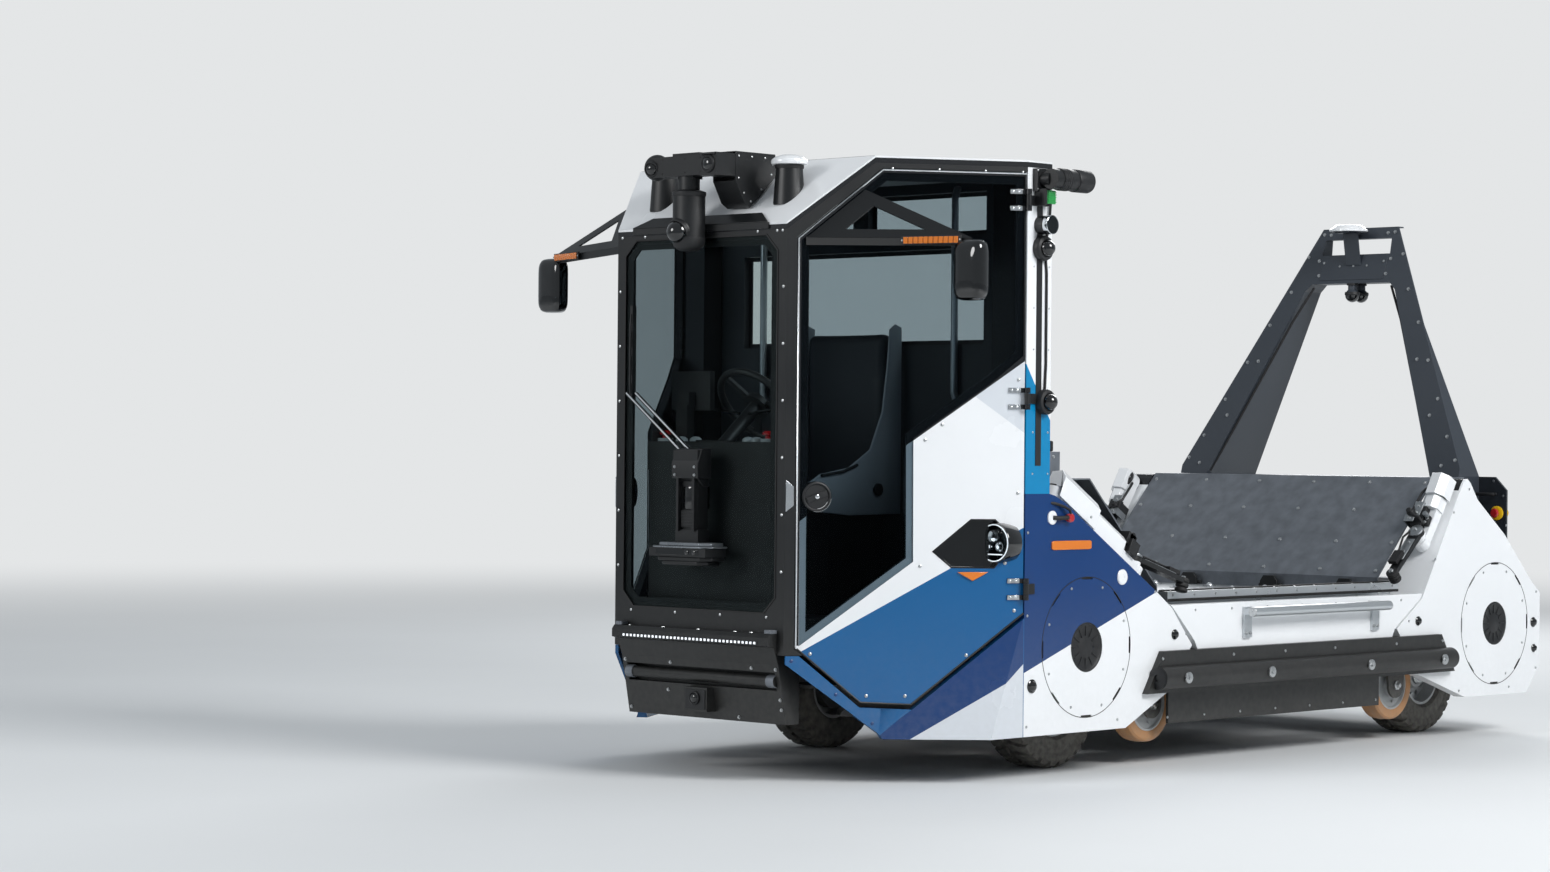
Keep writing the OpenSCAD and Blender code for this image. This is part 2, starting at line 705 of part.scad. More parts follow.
// Cameras and lamps on the columns behind the doors, and the columns' hinge leaves
module pillar_fittings() color("#232527") placed() {
    post_x = (door_rear_x + cab_rear_x) / 2;
    camera_z = cab_top_z - 70;
    dome_z = 1419;
    both_sides() {
        translate([0, half_w + fit_gap, 0]) {
            union() {
                span([post_x - 36, 0, camera_z - 45], [post_x + 44, 24, camera_z + 40]);
                rod_y([post_x + 4, 0, camera_z], 60, 66);
                rod_x([post_x - 166, 70, camera_z], 76, 190);
            }
            rod_y([post_x - 1, 0, camera_z - 170], 70, 60);
            for (at = [[post_x - 6, camera_z - 256], [post_x - 27, dome_z]])
                translate([at[0], 0, at[1]])
                    union() {
                        rod_y([0, 0, 0], 90, 26);
                        translate([0, 32, 0]) sphere(d = 60, $fn = 32);
                    }
        }
        for (z = hinge_zs) {
            union() {
                hinge_axis() translate([0, 0, z - hinge_h / 2]) cylinder(d = hinge_d, h = hinge_h);
                hinge_axis() translate([0, 0, z - hinge_h]) cylinder(d = hinge_pin_d, h = 2 * hinge_h);
                span([door_rear_x - 52, half_w + fit_gap, z - hinge_h / 2 + 1],
                    [hinge_x, half_w + 6, z + hinge_h / 2 - 1]);
            }
        }
    }
}

module seat_cushions() color("#2b2e33") placed() {
    base_z = floor_z + 400 + fit_gap;
    span([seat_x, -225, base_z], [seat_x + 460, 225, base_z + 110]);
    span([seat_x - 78, -225, base_z + 30], [seat_x - 0.5, 225, base_z + 700]);
}

// Dash with a leaning steering wheel in the middle and a screen to its right
module console() color("#242628") placed() {
    wheel_at = [cab_front_x - 312, 0, floor_z + 800];
    dash_x = cab_front_x - 62;
    lean = 50;
    union() {
        span([dash_x - 120, -330, floor_z + fit_gap], [dash_x, 330, floor_z + 580]);
        span([dash_x - 160, -340, floor_z + 550], [dash_x, 340, floor_z + 660]);
        span([dash_x - 150, -300, floor_z + 650], [dash_x - 110, -240, floor_z + 800]);
        span([dash_x - 180, -370, floor_z + 780], [dash_x - 155, -160, floor_z + 930]);
        span([dash_x - 160, -300, floor_z + 790], [dash_x - 120, -240, floor_z + 850]);
        translate(wheel_at) rotate([0, -lean, 0]) {
            translate([0, 0, -240]) cylinder(d = 54, h = 235);
            rotate_extrude() translate([165, 0]) circle(d = 28);
            translate([0, 0, -12]) cylinder(d = 110, h = 24);
            for (a = [90, 210, 330])
                rotate([0, 0, a]) span([20, -14, -6], [160, 14, 6]);
        }
    }
}

// Folded portal whose front plate leans back from the cradle, flanged round its openings
module sensor_mast() color("#2c2f33") placed() {
    wall = 6;
    foot_z = shelf_z + fit_gap;
    seat_z = cradle_top_z + fit_gap;
    bar_z = mast_z - 260;
    rear_x = -tail_x + plate_t + fit_gap;
    top_x = rear_x + mast_depth;
    seat_x = top_x + (mast_z - seat_z) * tan(mast_lean);
    step_x = -flange_x - fit_gap;
    knee_z = seat_z + 39;
    top_y = deck_edge - 560;
    leg_y = deck_edge - mast_leg_w;
    bar_y = top_y + 28;
    outline = [
        [-deck_edge, foot_z], [deck_edge, foot_z], [deck_edge, knee_z],
        [top_y, mast_z], [-top_y, mast_z], [-deck_edge, knee_z]
    ];
    opening = [
        [-leg_y, foot_z - 9], [leg_y, foot_z - 9], [leg_y, seat_z], [bar_y + 15, bar_z - 35],
        [bar_y - 20, bar_z], [20 - bar_y, bar_z], [-bar_y - 15, bar_z - 35], [-leg_y, seat_z]
    ];
    window = [
        [19 - top_y, mast_z - 125], [top_y - 19, mast_z - 125],
        [top_y - 24, mast_z - 52], [24 - top_y, mast_z - 52]
    ];
    difference() {
        intersection() {
            cross_plate(outline, rear_x, seat_x + 1);
            side_plate([
                [rear_x, foot_z], [rear_x + 125, foot_z], [step_x, seat_z - 70], [step_x, seat_z],
                [seat_x, seat_z], [top_x, mast_z], [rear_x, mast_z]
            ], -deck_edge - 1, deck_edge + 1);
        }
        cross_plate(opening, rear_x - 1, seat_x + 1);
        cross_plate(window, rear_x - 1, seat_x + 1);
        intersection() {
            difference() {
                cross_plate(grown(outline, 2), rear_x - 2, seat_x + 2);
                cross_plate(grown(opening, wall), rear_x - 3, seat_x + 3);
                cross_plate(grown(window, wall), rear_x - 3, seat_x + 3);
            }
            side_plate([
                [rear_x - 5, foot_z + wall], [rear_x + 125 - wall, foot_z + wall],
                [step_x - wall, seat_z - 70], [step_x - wall, seat_z + wall],
                [seat_x - 2 * wall, seat_z + wall], [top_x - wall, mast_z - wall],
                [rear_x - 5, mast_z - wall]
            ], -deck_edge - 3, deck_edge + 3);
        }
    }
    for (x = [rear_x + 36, rear_x + 106])
        translate([x, 0, bar_z])
            union() {
                translate([0, 0, -55]) cylinder(d = 40, h = 55 - fit_gap);
                translate([0, 0, -55]) sphere(d = 64, $fn = 32);
            }
    plate_x = top_x + 175 * tan(mast_lean);
    translate([plate_x, 0, mast_z])
        union() {
            side_plate([
                [0.3, -174], [7, -175], [33, -30], [100, -30], [100, -24], [-10, -24], [-10, -30], [26, -30]
            ], -40, 40);
            translate([45, 0, -25]) cylinder(d1 = 176, d2 = 120, h = 30);
        }
}

module tail_panel() color("#e8e9e9") placed()
    union() {
        span([-tail_x, -deck_edge, 200], [-tail_x + tail_t, deck_edge, shelf_z]);
        span([-tail_x, -deck_edge, shelf_z - 60], [-tail_x + tail_t + 90, deck_edge, shelf_z]);
        cross_plate([
            [deck_edge - 207, shelf_z - 1], [deck_edge, shelf_z - 1], [deck_edge, shelf_z + 409],
            [deck_edge - 60, shelf_z + 469], [deck_edge - 207, shelf_z + 469]
        ], -tail_x, -tail_x + plate_t);
        rod_x([-tail_x - 26, deck_edge - 47, shelf_z + 306], 44, 30);
    }

// Tow jaw: two plates with one vertical bore, on a back plate under the tail
module tow_hitch() color("#26282a") placed() {
    plate_low = tow_z - tow_gap / 2 - tow_plate_t;
    bore_x = -tail_x - tow_reach + 42;
    difference() {
        union() {
            for (z = [plate_low, tow_z + tow_gap / 2]) {
                span([bore_x, -42, z], [-tail_x - 10, 42, z + tow_plate_t]);
                translate([bore_x, 0, z]) cylinder(r = 42, h = tow_plate_t);
            }
            span([-tail_x - 18, -90, tow_z - 80], [-tail_x - fit_gap, 90, tow_z + 80]);
        }
        translate([bore_x, 0, 0]) cylinder(d = tow_bore_d, h = 1000);
    }
}

// Children drawn on a pod's top slope: toward the deck, outward, and off the slope
module on_slope(end) {
    x = end > 0 ? front_shoulder_x : rear_shoulder_x;
    z = end > 0 ? 1040 - (1560 - x) * tan(front_slope) : 1105 - (x + 1163) * tan(rear_slope);
    translate([x, arm_y, z]) mirror([end > 0 ? 1 : 0, 0, 0])
        rotate([0, end > 0 ? front_slope : rear_slope, 0]) children();
}

// Children drawn about an arm's elbow, in the plane of its forearm
module at_elbow(end)
    on_slope(end) translate([upper_l(end), 0, arm_lift]) rotate([0, -fore_tilt, 0]) children();

function upper_l(end) = end > 0 ? front_upper_l : rear_upper_l;
function fore_l(end) = end > 0 ? front_fore_l : rear_fore_l;

module arm_pivots() color("#8d9196") placed()
    both_sides()
        for (end = [1, -1])
            on_slope(end)
                union() {
                    translate([0, 0, fit_gap]) cylinder(d = 80, h = arm_lift - 2 * fit_gap);
                    translate([0, 0, 2]) cylinder(d = arm_pin_d, h = arm_lift + arm_t);
                }

// Tapered link in one plane, its round ends a little wider than the bar
module link(l, r1, r2, t) {
    neck = 3;
    union() {
        cylinder(r = r1, h = t);
        translate([l, 0, 0]) cylinder(r = r2, h = t);
        linear_extrude(t)
            polygon([[0, r1 - neck], [0, neck - r1], [l, neck - r2], [l, r2 - neck]]);
    }
}

module upper_arm(end, side) color("#e9eaea") placed()
    on_side(side)
        difference() {
            union() {
                on_slope(end) translate([0, 0, arm_lift]) link(upper_l(end), 50, 36, arm_t);
                at_elbow(end) translate([0, 0, 8]) cylinder(r = 31, h = arm_t + 7);
            }
            on_slope(end) cylinder(d = arm_pin_d + 2 * pin_gap, h = 2 * arm_t);
            at_elbow(end) translate([0, 0, -arm_t]) cylinder(d = arm_pin_d + 2 * pin_gap, h = 3 * arm_t);
        }

module forearm(end, side) color("#1d1e20") placed()
    on_side(side)
        at_elbow(end)
            union() {
                translate([0, 0, arm_t + 16]) link(fore_l(end), 32, 22, 20);
                translate([0, 0, 10]) cylinder(d = arm_pin_d, h = arm_t + 10);
                translate([fore_l(end), 0, arm_t - 18]) cylinder(d = 38, h = 58);
            }

module knuckle(end, side) color("#3a3c40") placed()
    on_side(side)
        translate([end * wheelbase / 2, kingpin_y, wheel_z])
            union() {
                translate([0, 0, -79]) cylinder(r = 32, h = 158);
                translate([0, 0, -109]) cylinder(d = kingpin_d, h = 218);
                rod_y([0, 0, 0], 56, track / 2 - kingpin_y - 60);
                rod_y([0, track / 2 - kingpin_y - 80, 0], 170, 44);
                rod_y([0, 0, 0], spindle_d, track / 2 - kingpin_y + 44);
                span([-120, -12, -10], [0, 12, 10]);
                translate([-120, 0, -14]) cylinder(d = 36, h = 28);
            }

module rim(end, side) color("#c3c6c9") placed()
    on_side(side)
        translate([end * wheelbase / 2, track / 2, wheel_z])
            rotate([-90, 0, 0])
                difference() {
                    rotate_extrude() polygon([
                        [spindle_d / 2 + pin_gap, -34], [60, -34], [60, 10], [rim_d / 2 - 12, 2],
                        [rim_d / 2 - 12, -tyre_w / 2 + 14], [rim_d / 2, -tyre_w / 2 + 14],
                        [rim_d / 2, tyre_w / 2 - 14], [rim_d / 2 - 12, tyre_w / 2 - 14],
                        [rim_d / 2 - 12, 14], [60, 22], [52, 50], [0, 54], [0, 46], [spindle_d / 2 + pin_gap, 46]
                    ]);
                    for (a = [0 : 60 : 300])
                        rotate([0, 0, a]) translate([88, 0, -1]) cylinder(d = 22, h = 40);
                }

// Cushion tyre with bevelled shoulders
module tyre(end, side) color("#1a1a1b") placed()
    on_side(side)
        translate([end * wheelbase / 2, track / 2, wheel_z])
            rotate([-90, 0, 0])
                rotate_extrude($fn = 72) polygon([
                    [rim_d / 2, -tyre_w / 2 + 12], [rim_d / 2 + 12, -tyre_w / 2],
                    [tyre_d / 2 - 22, -tyre_w / 2], [tyre_d / 2, -tyre_w / 2 + 22],
                    [tyre_d / 2, tyre_w / 2 - 22], [tyre_d / 2 - 22, tyre_w / 2],
                    [rim_d / 2 + 12, tyre_w / 2], [rim_d / 2, tyre_w / 2 - 12]
                ]);

// Door panel with its headlamp, handle cup, hinge leaves and the holes for the mirror's feet
module door(side) color("#e4e6e7") placed()
    on_side(side)
        difference() {
            union() {
                door_plate(door_outline, -frame_t, 0);
                rod_x([lamp_x, lamp_y, lamp_z], lamp_d, lamp_l);
                for (z = hinge_zs, up = [-1, 1])
                    hinge_leaf(z + up * (hinge_h * 3 / 4 + 1));
            }
            difference() {
                union() {
                    door_plate(pane_outline, -glass_t - fit_gap, 1);
                    door_plate(grown(pane_outline, -glass_lap), -frame_t - 1, 1);
                }
                door_plane() translate([handle_at[0], handle_at[1], -frame_t]) cylinder(d = 112, h = frame_t);
            }
            door_plane() translate([handle_at[0], handle_at[1], -14]) cylinder(d = 88, h = 20);
            difference() {
                door_plate(lamp_outline, -26, 1);
                rod_x([lamp_x, lamp_y, lamp_z], lamp_d, lamp_l);
            }
            rod_x([lamp_x + lamp_l, lamp_y, lamp_z], lamp_d - 10, 120);
            span([0, 0, 0], [door_rear_x + door_gap, half_w, cab_top_z]);
            for (z = hinge_zs)
                hinge_axis() translate([0, 0, z - 2 * hinge_h])
                    cylinder(d = hinge_pin_d + 2 * pin_gap, h = 4 * hinge_h);
            for (foot = mirror_feet)
                door_plane() translate([foot[0], foot[1], -frame_t - 1])
                    cylinder(d = foot_d + 2 * fit_gap, h = frame_t + 2);
        }

// Half of the door's share of a hinge, about the height z
module hinge_leaf(z) {
    h = hinge_h / 2;
    hinge_axis() translate([0, 0, z - h / 2]) cylinder(d = hinge_d, h = h);
    door_plane() span([door_l - 70, z - h / 2 + 1, -1], [door_l - 12, z + h / 2 - 1, 5]);
    door_plane() span([door_l - 20, z - h / 2 + 1, -1], [door_l - 6, z + h / 2 - 1, 9]);
}

// Mirror head on an arm of two bars, whose feet pass through the pane into the door
module mirror_head(side) color("#1c1d1f") placed() {
    apex = [cab_front_x - 265, half_w + 155, cab_top_z - 320];
    on_side(side)
        union() {
            for (foot = mirror_feet) {
                door_plane() translate([foot[0], foot[1], -frame_t + 2]) cylinder(d = foot_d, h = frame_t + 18);
                hull() {
                    door_plane() translate([foot[0], foot[1], 12]) cube([26, 22, 16], center = true);
                    translate(apex) cube([24, 20, 20], center = true);
                }
            }
            span(apex + [-20, -49, -225], apex + [20, 81, -9]);
        }
}

module door_glass(side) color("#39434c") placed()
    on_side(side) {
        difference() {
            door_plate(grown(pane_outline, -fit_gap), -glass_t, 0);
            door_plane() translate([handle_at[0], handle_at[1], -glass_t - 1]) cylinder(d = 113, h = glass_t + 2);
            for (foot = mirror_feet)
                door_plane() translate([foot[0], foot[1], -glass_t - 1]) cylinder(d = foot_d + 2, h = glass_t + 2);
        }
        rod_x([lamp_x + lamp_l + fit_gap, lamp_y, lamp_z], lamp_d - 16, 8);
    }

chassis_frame();
axle_beams();
battery_pack();
deck();
deck_rails();
cradles();
front_pods();
rear_pods();
hatch_covers();
side_sills();
side_bumpers();
fenders();
castor_housings();
cab_floor();
cab_skirts();
cab_frame();
roof();
cab_glass();
cab_rear_wall();
front_bumper();
front_scanner();
roof_sensors();
pillar_fittings();
seat_cushions();
console();
sensor_mast();
tail_panel();
tow_hitch();
arm_pivots();
door(1);  // door_left
door(-1);  // door_right
door_glass(1);  // door_glass_left
door_glass(-1);  // door_glass_right
mirror_head(1);  // mirror_left
mirror_head(-1);  // mirror_right
knuckle(1, 1);  // knuckle_front_left
knuckle(1, -1);  // knuckle_front_right
knuckle(-1, 1);  // knuckle_rear_left
knuckle(-1, -1);  // knuckle_rear_right
rim(1, 1);  // rim_front_left
rim(1, -1);  // rim_front_right
rim(-1, 1);  // rim_rear_left
rim(-1, -1);  // rim_rear_right
tyre(1, 1);  // tyre_front_left
tyre(1, -1);  // tyre_front_right
tyre(-1, 1);  // tyre_rear_left
tyre(-1, -1);  // tyre_rear_right
castor(1, 1);  // castor_front_left
castor(1, -1);  // castor_front_right
castor(-1, 1);  // castor_rear_left
castor(-1, -1);  // castor_rear_right
upper_arm(1, 1);  // upper_arm_front_left
upper_arm(1, -1);  // upper_arm_front_right
upper_arm(-1, 1);  // upper_arm_rear_left
upper_arm(-1, -1);  // upper_arm_rear_right
forearm(1, 1);  // forearm_front_left
forearm(1, -1);  // forearm_front_right
forearm(-1, 1);  // forearm_rear_left
forearm(-1, -1);  // forearm_rear_right
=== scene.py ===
"""Airport baggage tug: a self-driving vehicle with a glazed cab and a low deck between two moulded ends."""
import math

import bmesh
import bpy
from mathutils import Matrix, Vector


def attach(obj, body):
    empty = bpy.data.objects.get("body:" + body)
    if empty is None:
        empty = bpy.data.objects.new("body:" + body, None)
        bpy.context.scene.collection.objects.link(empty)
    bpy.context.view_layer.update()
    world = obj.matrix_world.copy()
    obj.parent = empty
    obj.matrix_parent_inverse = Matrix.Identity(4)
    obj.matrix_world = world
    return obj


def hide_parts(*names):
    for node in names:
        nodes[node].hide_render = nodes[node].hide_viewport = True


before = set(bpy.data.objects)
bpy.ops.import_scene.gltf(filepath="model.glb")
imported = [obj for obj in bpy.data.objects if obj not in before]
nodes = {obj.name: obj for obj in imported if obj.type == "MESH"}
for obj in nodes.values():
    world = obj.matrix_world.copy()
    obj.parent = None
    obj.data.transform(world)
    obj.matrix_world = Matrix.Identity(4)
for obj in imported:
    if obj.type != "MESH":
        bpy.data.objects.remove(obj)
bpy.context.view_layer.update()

# The view
# The camera stands at eye level off the front left corner, about fourteen metres away,
# with a long lens that keeps the upright edges of the cab nearly parallel.
eye = Vector((11.253, 9.165, 1.263))
yaw, pitch, roll = math.radians(134.01), math.radians(0.089), math.radians(0.496)
ahead = Vector((-math.sin(yaw) * math.cos(pitch), math.cos(yaw) * math.cos(pitch), math.sin(pitch)))
level = Vector((math.cos(yaw), math.sin(yaw), 0))
upright = level.cross(ahead)
right = math.cos(roll) * level + math.sin(roll) * upright
above = math.cos(roll) * upright - math.sin(roll) * level
camera_data = bpy.data.cameras.new("camera")
camera_data.lens = 79.8
camera_data.sensor_width = 36
camera_data.clip_end = 400
camera = bpy.data.objects.new("camera", camera_data)
camera.matrix_world = Matrix((right, above, -ahead)).transposed().to_4x4()
camera.location = eye
bpy.context.collection.objects.link(camera)
bpy.context.scene.camera = camera
bpy.context.scene.view_settings.view_transform = "Standard"


# The studio
# A pale floor that fades into a pale world, one broad soft key light high on the deck side,
# and weaker ones off the nose and the tail so that the black parts keep their shape.
def srgb(code):
    """An sRGB hex colour as linear RGBA."""
    channels = [int(code[i:i + 2], 16) / 255 for i in (1, 3, 5)]
    return [c / 12.92 if c <= 0.04045 else ((c + 0.055) / 1.055) ** 2.4 for c in channels] + [1.0]


def add(tree, kind, inputs=None, **settings):
    """Adds a shader node with its settings; each input is a value or the socket that feeds it."""
    node = tree.nodes.new("ShaderNode" + kind)
    for name, value in settings.items():
        setattr(node, name, value)
    for key, value in (inputs or {}).items():
        if isinstance(value, bpy.types.NodeSocket):
            tree.links.new(value, node.inputs[key])
        else:
            node.inputs[key].default_value = value
    return node


def noise(tree, place, grain_mm, detail):
    """Soft noise from 0 to 1 in grains of about this size."""
    return add(tree, "TexNoise", {"Vector": place, "Scale": 1000 / grain_mm, "Detail": detail}).outputs["Fac"]


def ramp(tree, value, before, after, **settings):
    """The value with the range before stretched to the range after."""
    ends = {"From Min": before[0], "From Max": before[1], "To Min": after[0], "To Max": after[1]}
    return add(tree, "MapRange", {"Value": value, **ends}, **settings).outputs[0]


def calc(tree, operation, *values):
    """The result of a sum on numbers or sockets."""
    return add(tree, "Math", dict(enumerate(values)), operation=operation).outputs[0]


def pick(tree, share, no, yes, **settings):
    """Colour no, or yes where share is 1."""
    return add(tree, "Mix", {0: share, 6: no, 7: yes}, data_type="RGBA", **settings).outputs[2]


def apart(tree, place):
    """The X, Y and Z of a place, as sockets."""
    return add(tree, "SeparateXYZ", {"Vector": place}).outputs


def blank(name):
    """A new material, its empty node tree, and its coordinates in metres from the vehicle's origin."""
    material = bpy.data.materials.new(name)
    material.use_nodes = True
    material.node_tree.nodes.clear()
    return material, material.node_tree, add(material.node_tree, "TexCoord").outputs["Object"]


# Matt floor paint: fades a little from place to place, and far off into the backdrop's tone
floor_paint, tree, place = blank("studio_floor_paint")
tone = pick(tree, noise(tree, place, 2500, 3.0), srgb("#d9dbdc"), srgb("#e2e4e5"))
matt = add(tree, "BsdfPrincipled", {"Base Color": tone, "Roughness": 0.9})
glow = add(tree, "Emission", {"Color": srgb("#e6e8e9"), "Strength": 0.98})
reach = add(tree, "VectorMath", {0: place}, operation="LENGTH")
far = ramp(tree, reach.outputs["Value"], (5.0, 22.0), (0.0, 1.0), interpolation_type="SMOOTHSTEP")
path = add(tree, "LightPath")
fade = calc(tree, "MULTIPLY", far, path.outputs["Is Camera Ray"])
both = add(tree, "MixShader", {0: fade, 1: matt.outputs[0], 2: glow.outputs[0]})
add(tree, "OutputMaterial", {"Surface": both.outputs[0]})
half_floor = 150
floor_mesh = bpy.data.meshes.new("floor")
corners = [(x * half_floor, y * half_floor, 0) for x, y in ((-1, -1), (1, -1), (1, 1), (-1, 1))]
floor_mesh.from_pydata(corners, [], [(0, 1, 2, 3)])
floor_mesh.materials.append(floor_paint)
floor = bpy.data.objects.new("floor", floor_mesh)
bpy.context.collection.objects.link(floor)

world = bpy.data.worlds.new("studio")
bpy.context.scene.world = world
world.use_nodes = True
tree = world.node_tree
tree.nodes.clear()
path = add(tree, "LightPath")
seen = calc(tree, "MAXIMUM", path.outputs["Is Camera Ray"], path.outputs["Is Transmission Ray"])
ambient = add(tree, "Background", {"Color": srgb("#dde5ec"), "Strength": 0.46})
backdrop = add(tree, "Background", {"Color": srgb("#e6e8e9"), "Strength": 0.98})
sky = add(tree, "MixShader", {0: seen, 1: ambient.outputs[0], 2: backdrop.outputs[0]})
add(tree, "OutputWorld", {"Surface": sky.outputs[0]})

for name, spot, size, watts in (("key_light", (0.5, 9.5, 7.5), 5.0, 1000),
                                ("nose_light", (11.0, -3.0, 5.0), 4.0, 330),
                                ("tail_light", (-9.0, -5.0, 6.0), 4.5, 420)):
    lamp = bpy.data.lights.new(name, "AREA")
    lamp.shape = "DISK"
    lamp.size = size
    lamp.energy = watts
    holder = bpy.data.objects.new(name, lamp)
    holder.location = spot
    holder.rotation_euler = (Vector((0, 0, 0.9)) - Vector(spot)).to_track_quat("-Z", "Y").to_euler()
    bpy.context.collection.objects.link(holder)


# Chassis
# A ladder frame of black powder-coated box steel with outriggers, two welded axle beams
# and one plain grey battery box slung between the rails.
def coating(name, colour, roughness, grain_mm, depth_mm, metallic=0.0, ior=1.5, clear=0.0, drift_mm=400,
            uneven=0.08, dusty=0.0, brushed=(1, 1, 1)):
    """An even finish: colour that drifts a little, dust low down, fine grain and patchy gloss.
    The colour is a hex value, or a function of the tree and the place that gives a socket."""
    material, tree, place = blank(name)
    base = colour(tree, place) if callable(colour) else srgb(colour)
    patches = noise(tree, place, drift_mm, 6.0)
    fade = ramp(tree, patches, (0.3, 0.7), (1 - uneven, 1.0))
    shown = pick(tree, 1.0, base, fade, blend_type="MULTIPLY")
    if dusty:
        low = ramp(tree, apart(tree, place)["Z"], (0.05, 0.75), (dusty, 0.0))
        shown = pick(tree, calc(tree, "MULTIPLY", low, noise(tree, place, 24, 8.0)), shown, srgb("#99958c"))
    along = add(tree, "Mapping", {"Vector": place, "Scale": brushed}).outputs[0]
    relief = add(tree, "Bump", {"Height": noise(tree, along, grain_mm, 2.0), "Strength": 0.7,
                                "Distance": depth_mm / 1000})
    gloss = ramp(tree, patches, (0.3, 0.7), (roughness * 0.85, min(1, roughness * 1.15)))
    skin = add(tree, "BsdfPrincipled", {"Base Color": shown, "Roughness": gloss, "Normal": relief.outputs[0],
                                        "Metallic": metallic, "IOR": ior, "Coat Weight": clear,
                                        "Coat Roughness": 0.08})
    add(tree, "OutputMaterial", {"Surface": skin.outputs[0]})
    return material


def dress(material, *names):
    """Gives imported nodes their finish."""
    for name in names:
        data = nodes[name].data
        data.materials.clear()
        data.materials.append(material)


# The mesh in hand: the helpers add shapes to it, then settle() or pair() makes pieces of it
mesh = bmesh.new()
at = Matrix.Translation
FORE, AFT, OUT, UP = (1, 0, 0), (-1, 0, 0), (0, 1, 0), (0, 0, 1)


def around(radius, count, height=0.0, start=0.0):
    """Points evenly round a circle of local X and Y, the first of them start steps along."""
    turns = [2 * math.pi * (k + start) / count for k in range(count)]
    return [(radius * math.cos(turn), radius * math.sin(turn), height) for turn in turns]


def placed(place, points):
    """Points carried from a place's own axes to the vehicle's."""
    return [place @ Vector(point) for point in points]


def skin_over(rings, closed=False):
    """Faces from ring to ring of vertices. The first and last are capped, or joined if closed."""
    for a, b in zip(rings, rings[1:] + (rings[:1] if closed else [])):
        for k in range(max(len(a), len(b))):
            n = k + 1
            corners = [a[k % len(a)], a[n % len(a)], b[n % len(b)], b[k % len(b)]]
            mesh.faces.new(list(dict.fromkeys(corners)))
    for end in (rings[0], rings[-1]):
        if len(end) > 1 and not closed:
            mesh.faces.new(end)


def row(points, place=Matrix()):
    """New vertices at the points, a ring for skin_over()."""
    return [mesh.verts.new(spot) for spot in placed(place, points)]


def slab(outline, low, high, place=Matrix()):
    """An outline of local X and Y, extruded from low to high along local Z."""
    rings = [row([(u, v, w) for u, v in outline], place) for w in (low, high)]
    mesh.faces.new(reversed(rings[0]))
    mesh.faces.new(rings[1])
    for i in range(len(outline)):
        j = (i + 1) % len(outline)
        mesh.faces.new((rings[0][i], rings[0][j], rings[1][j], rings[1][i]))


def block(low, high, place=Matrix()):
    """A box from its low corner to its high corner."""
    outline = [(low[0], low[1]), (high[0], low[1]), (high[0], high[1]), (low[0], high[1])]
    slab(outline, low[2], high[2], place)


def turned(profile, place=Matrix(), steps=32, ring=False):
    """A profile of radius and height turned about local Z, open profiles being closed at both ends."""
    skin_over([row(around(r, steps if r > 1e-6 else 1, h), place) for r, h in profile], ring)


def dome(radius, angles, base=0.0):
    """The profile of a dome, from points at these degrees above its equator."""
    return [(radius * math.cos(math.radians(a)), base + radius * math.sin(math.radians(a))) for a in angles]


def tube(points, radius, steps=10, place=Matrix()):
    """A round bar or pipe through the points."""
    points = placed(place, points)
    rings = []
    side = None
    for i, point in enumerate(points):
        run = points[min(i + 1, len(points) - 1)] - points[max(i - 1, 0)]
        run.normalize()
        side = (side or run.orthogonal()) - run * run.dot(side or run.orthogonal())
        side.normalize()
        other = run.cross(side)
        rings.append([mesh.verts.new(point + side * u + other * v) for u, v, w in around(radius, steps)])
    skin_over(rings)


def facing(spot, out, up=UP):
    """A place at spot whose local Z points out and whose local Y points up."""
    z = Vector(out).normalized()
    x = Vector(up).cross(z).normalized()
    return at(spot) @ Matrix((x, z.cross(x), z)).transposed().to_4x4()


def bolts(spots, out, radius, up=UP):
    """Hexagon heads on washers at the spots."""
    for spot in spots:
        place = facing(spot, out, up)
        turned([(radius * 1.3, -0.001), (radius * 1.3, radius * 0.2)], place, 12)
        slab([(u, v) for u, v, w in around(radius, 6)], radius * 0.1, radius * 0.9, place)


def rivets(spots, out, radius, up=UP):
    """Domed heads at the spots."""
    for spot in spots:
        turned([(radius, -0.0005), (radius * 0.85, radius * 0.3), (radius * 0.45, radius * 0.5),
                (0, radius * 0.56)], facing(spot, out, up), 8)


def settle(name, material, body="vehicle", edge=0.0, smooth=35, shape=mesh):
    """Makes a piece of the mesh in hand, which rides on a body, and empties the mesh."""
    bmesh.ops.recalc_face_normals(shape, faces=shape.faces)
    data = bpy.data.meshes.new(name)
    shape.to_mesh(data)
    shape.clear()
    data.shade_smooth()
    data.set_sharp_from_angle(angle=math.radians(smooth))
    data.materials.append(material)
    piece = bpy.data.objects.new(name, data)
    bpy.context.collection.objects.link(piece)
    if edge:
        rounding = piece.modifiers.new("edges", "BEVEL")
        rounding.width = edge
        rounding.segments = 2
        rounding.limit_method = "ANGLE"
        rounding.angle_limit = math.radians(40)
    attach(piece, body)
    return piece


def pair(name, material, body="vehicle", edge=0.0, smooth=35):
    """Makes a left piece of the mesh in hand and its mirror image on the right. A * in the names
    stands for the side. Gives both sides with their pieces."""
    mirrored = mesh.copy()
    mirrored.transform(Matrix.Scale(-1, 4, OUT))
    return [(side, settle(name.replace("*", side), material, body.replace("*", side), edge, smooth, shape))
            for side, shape in (("left", mesh), ("right", mirrored))]


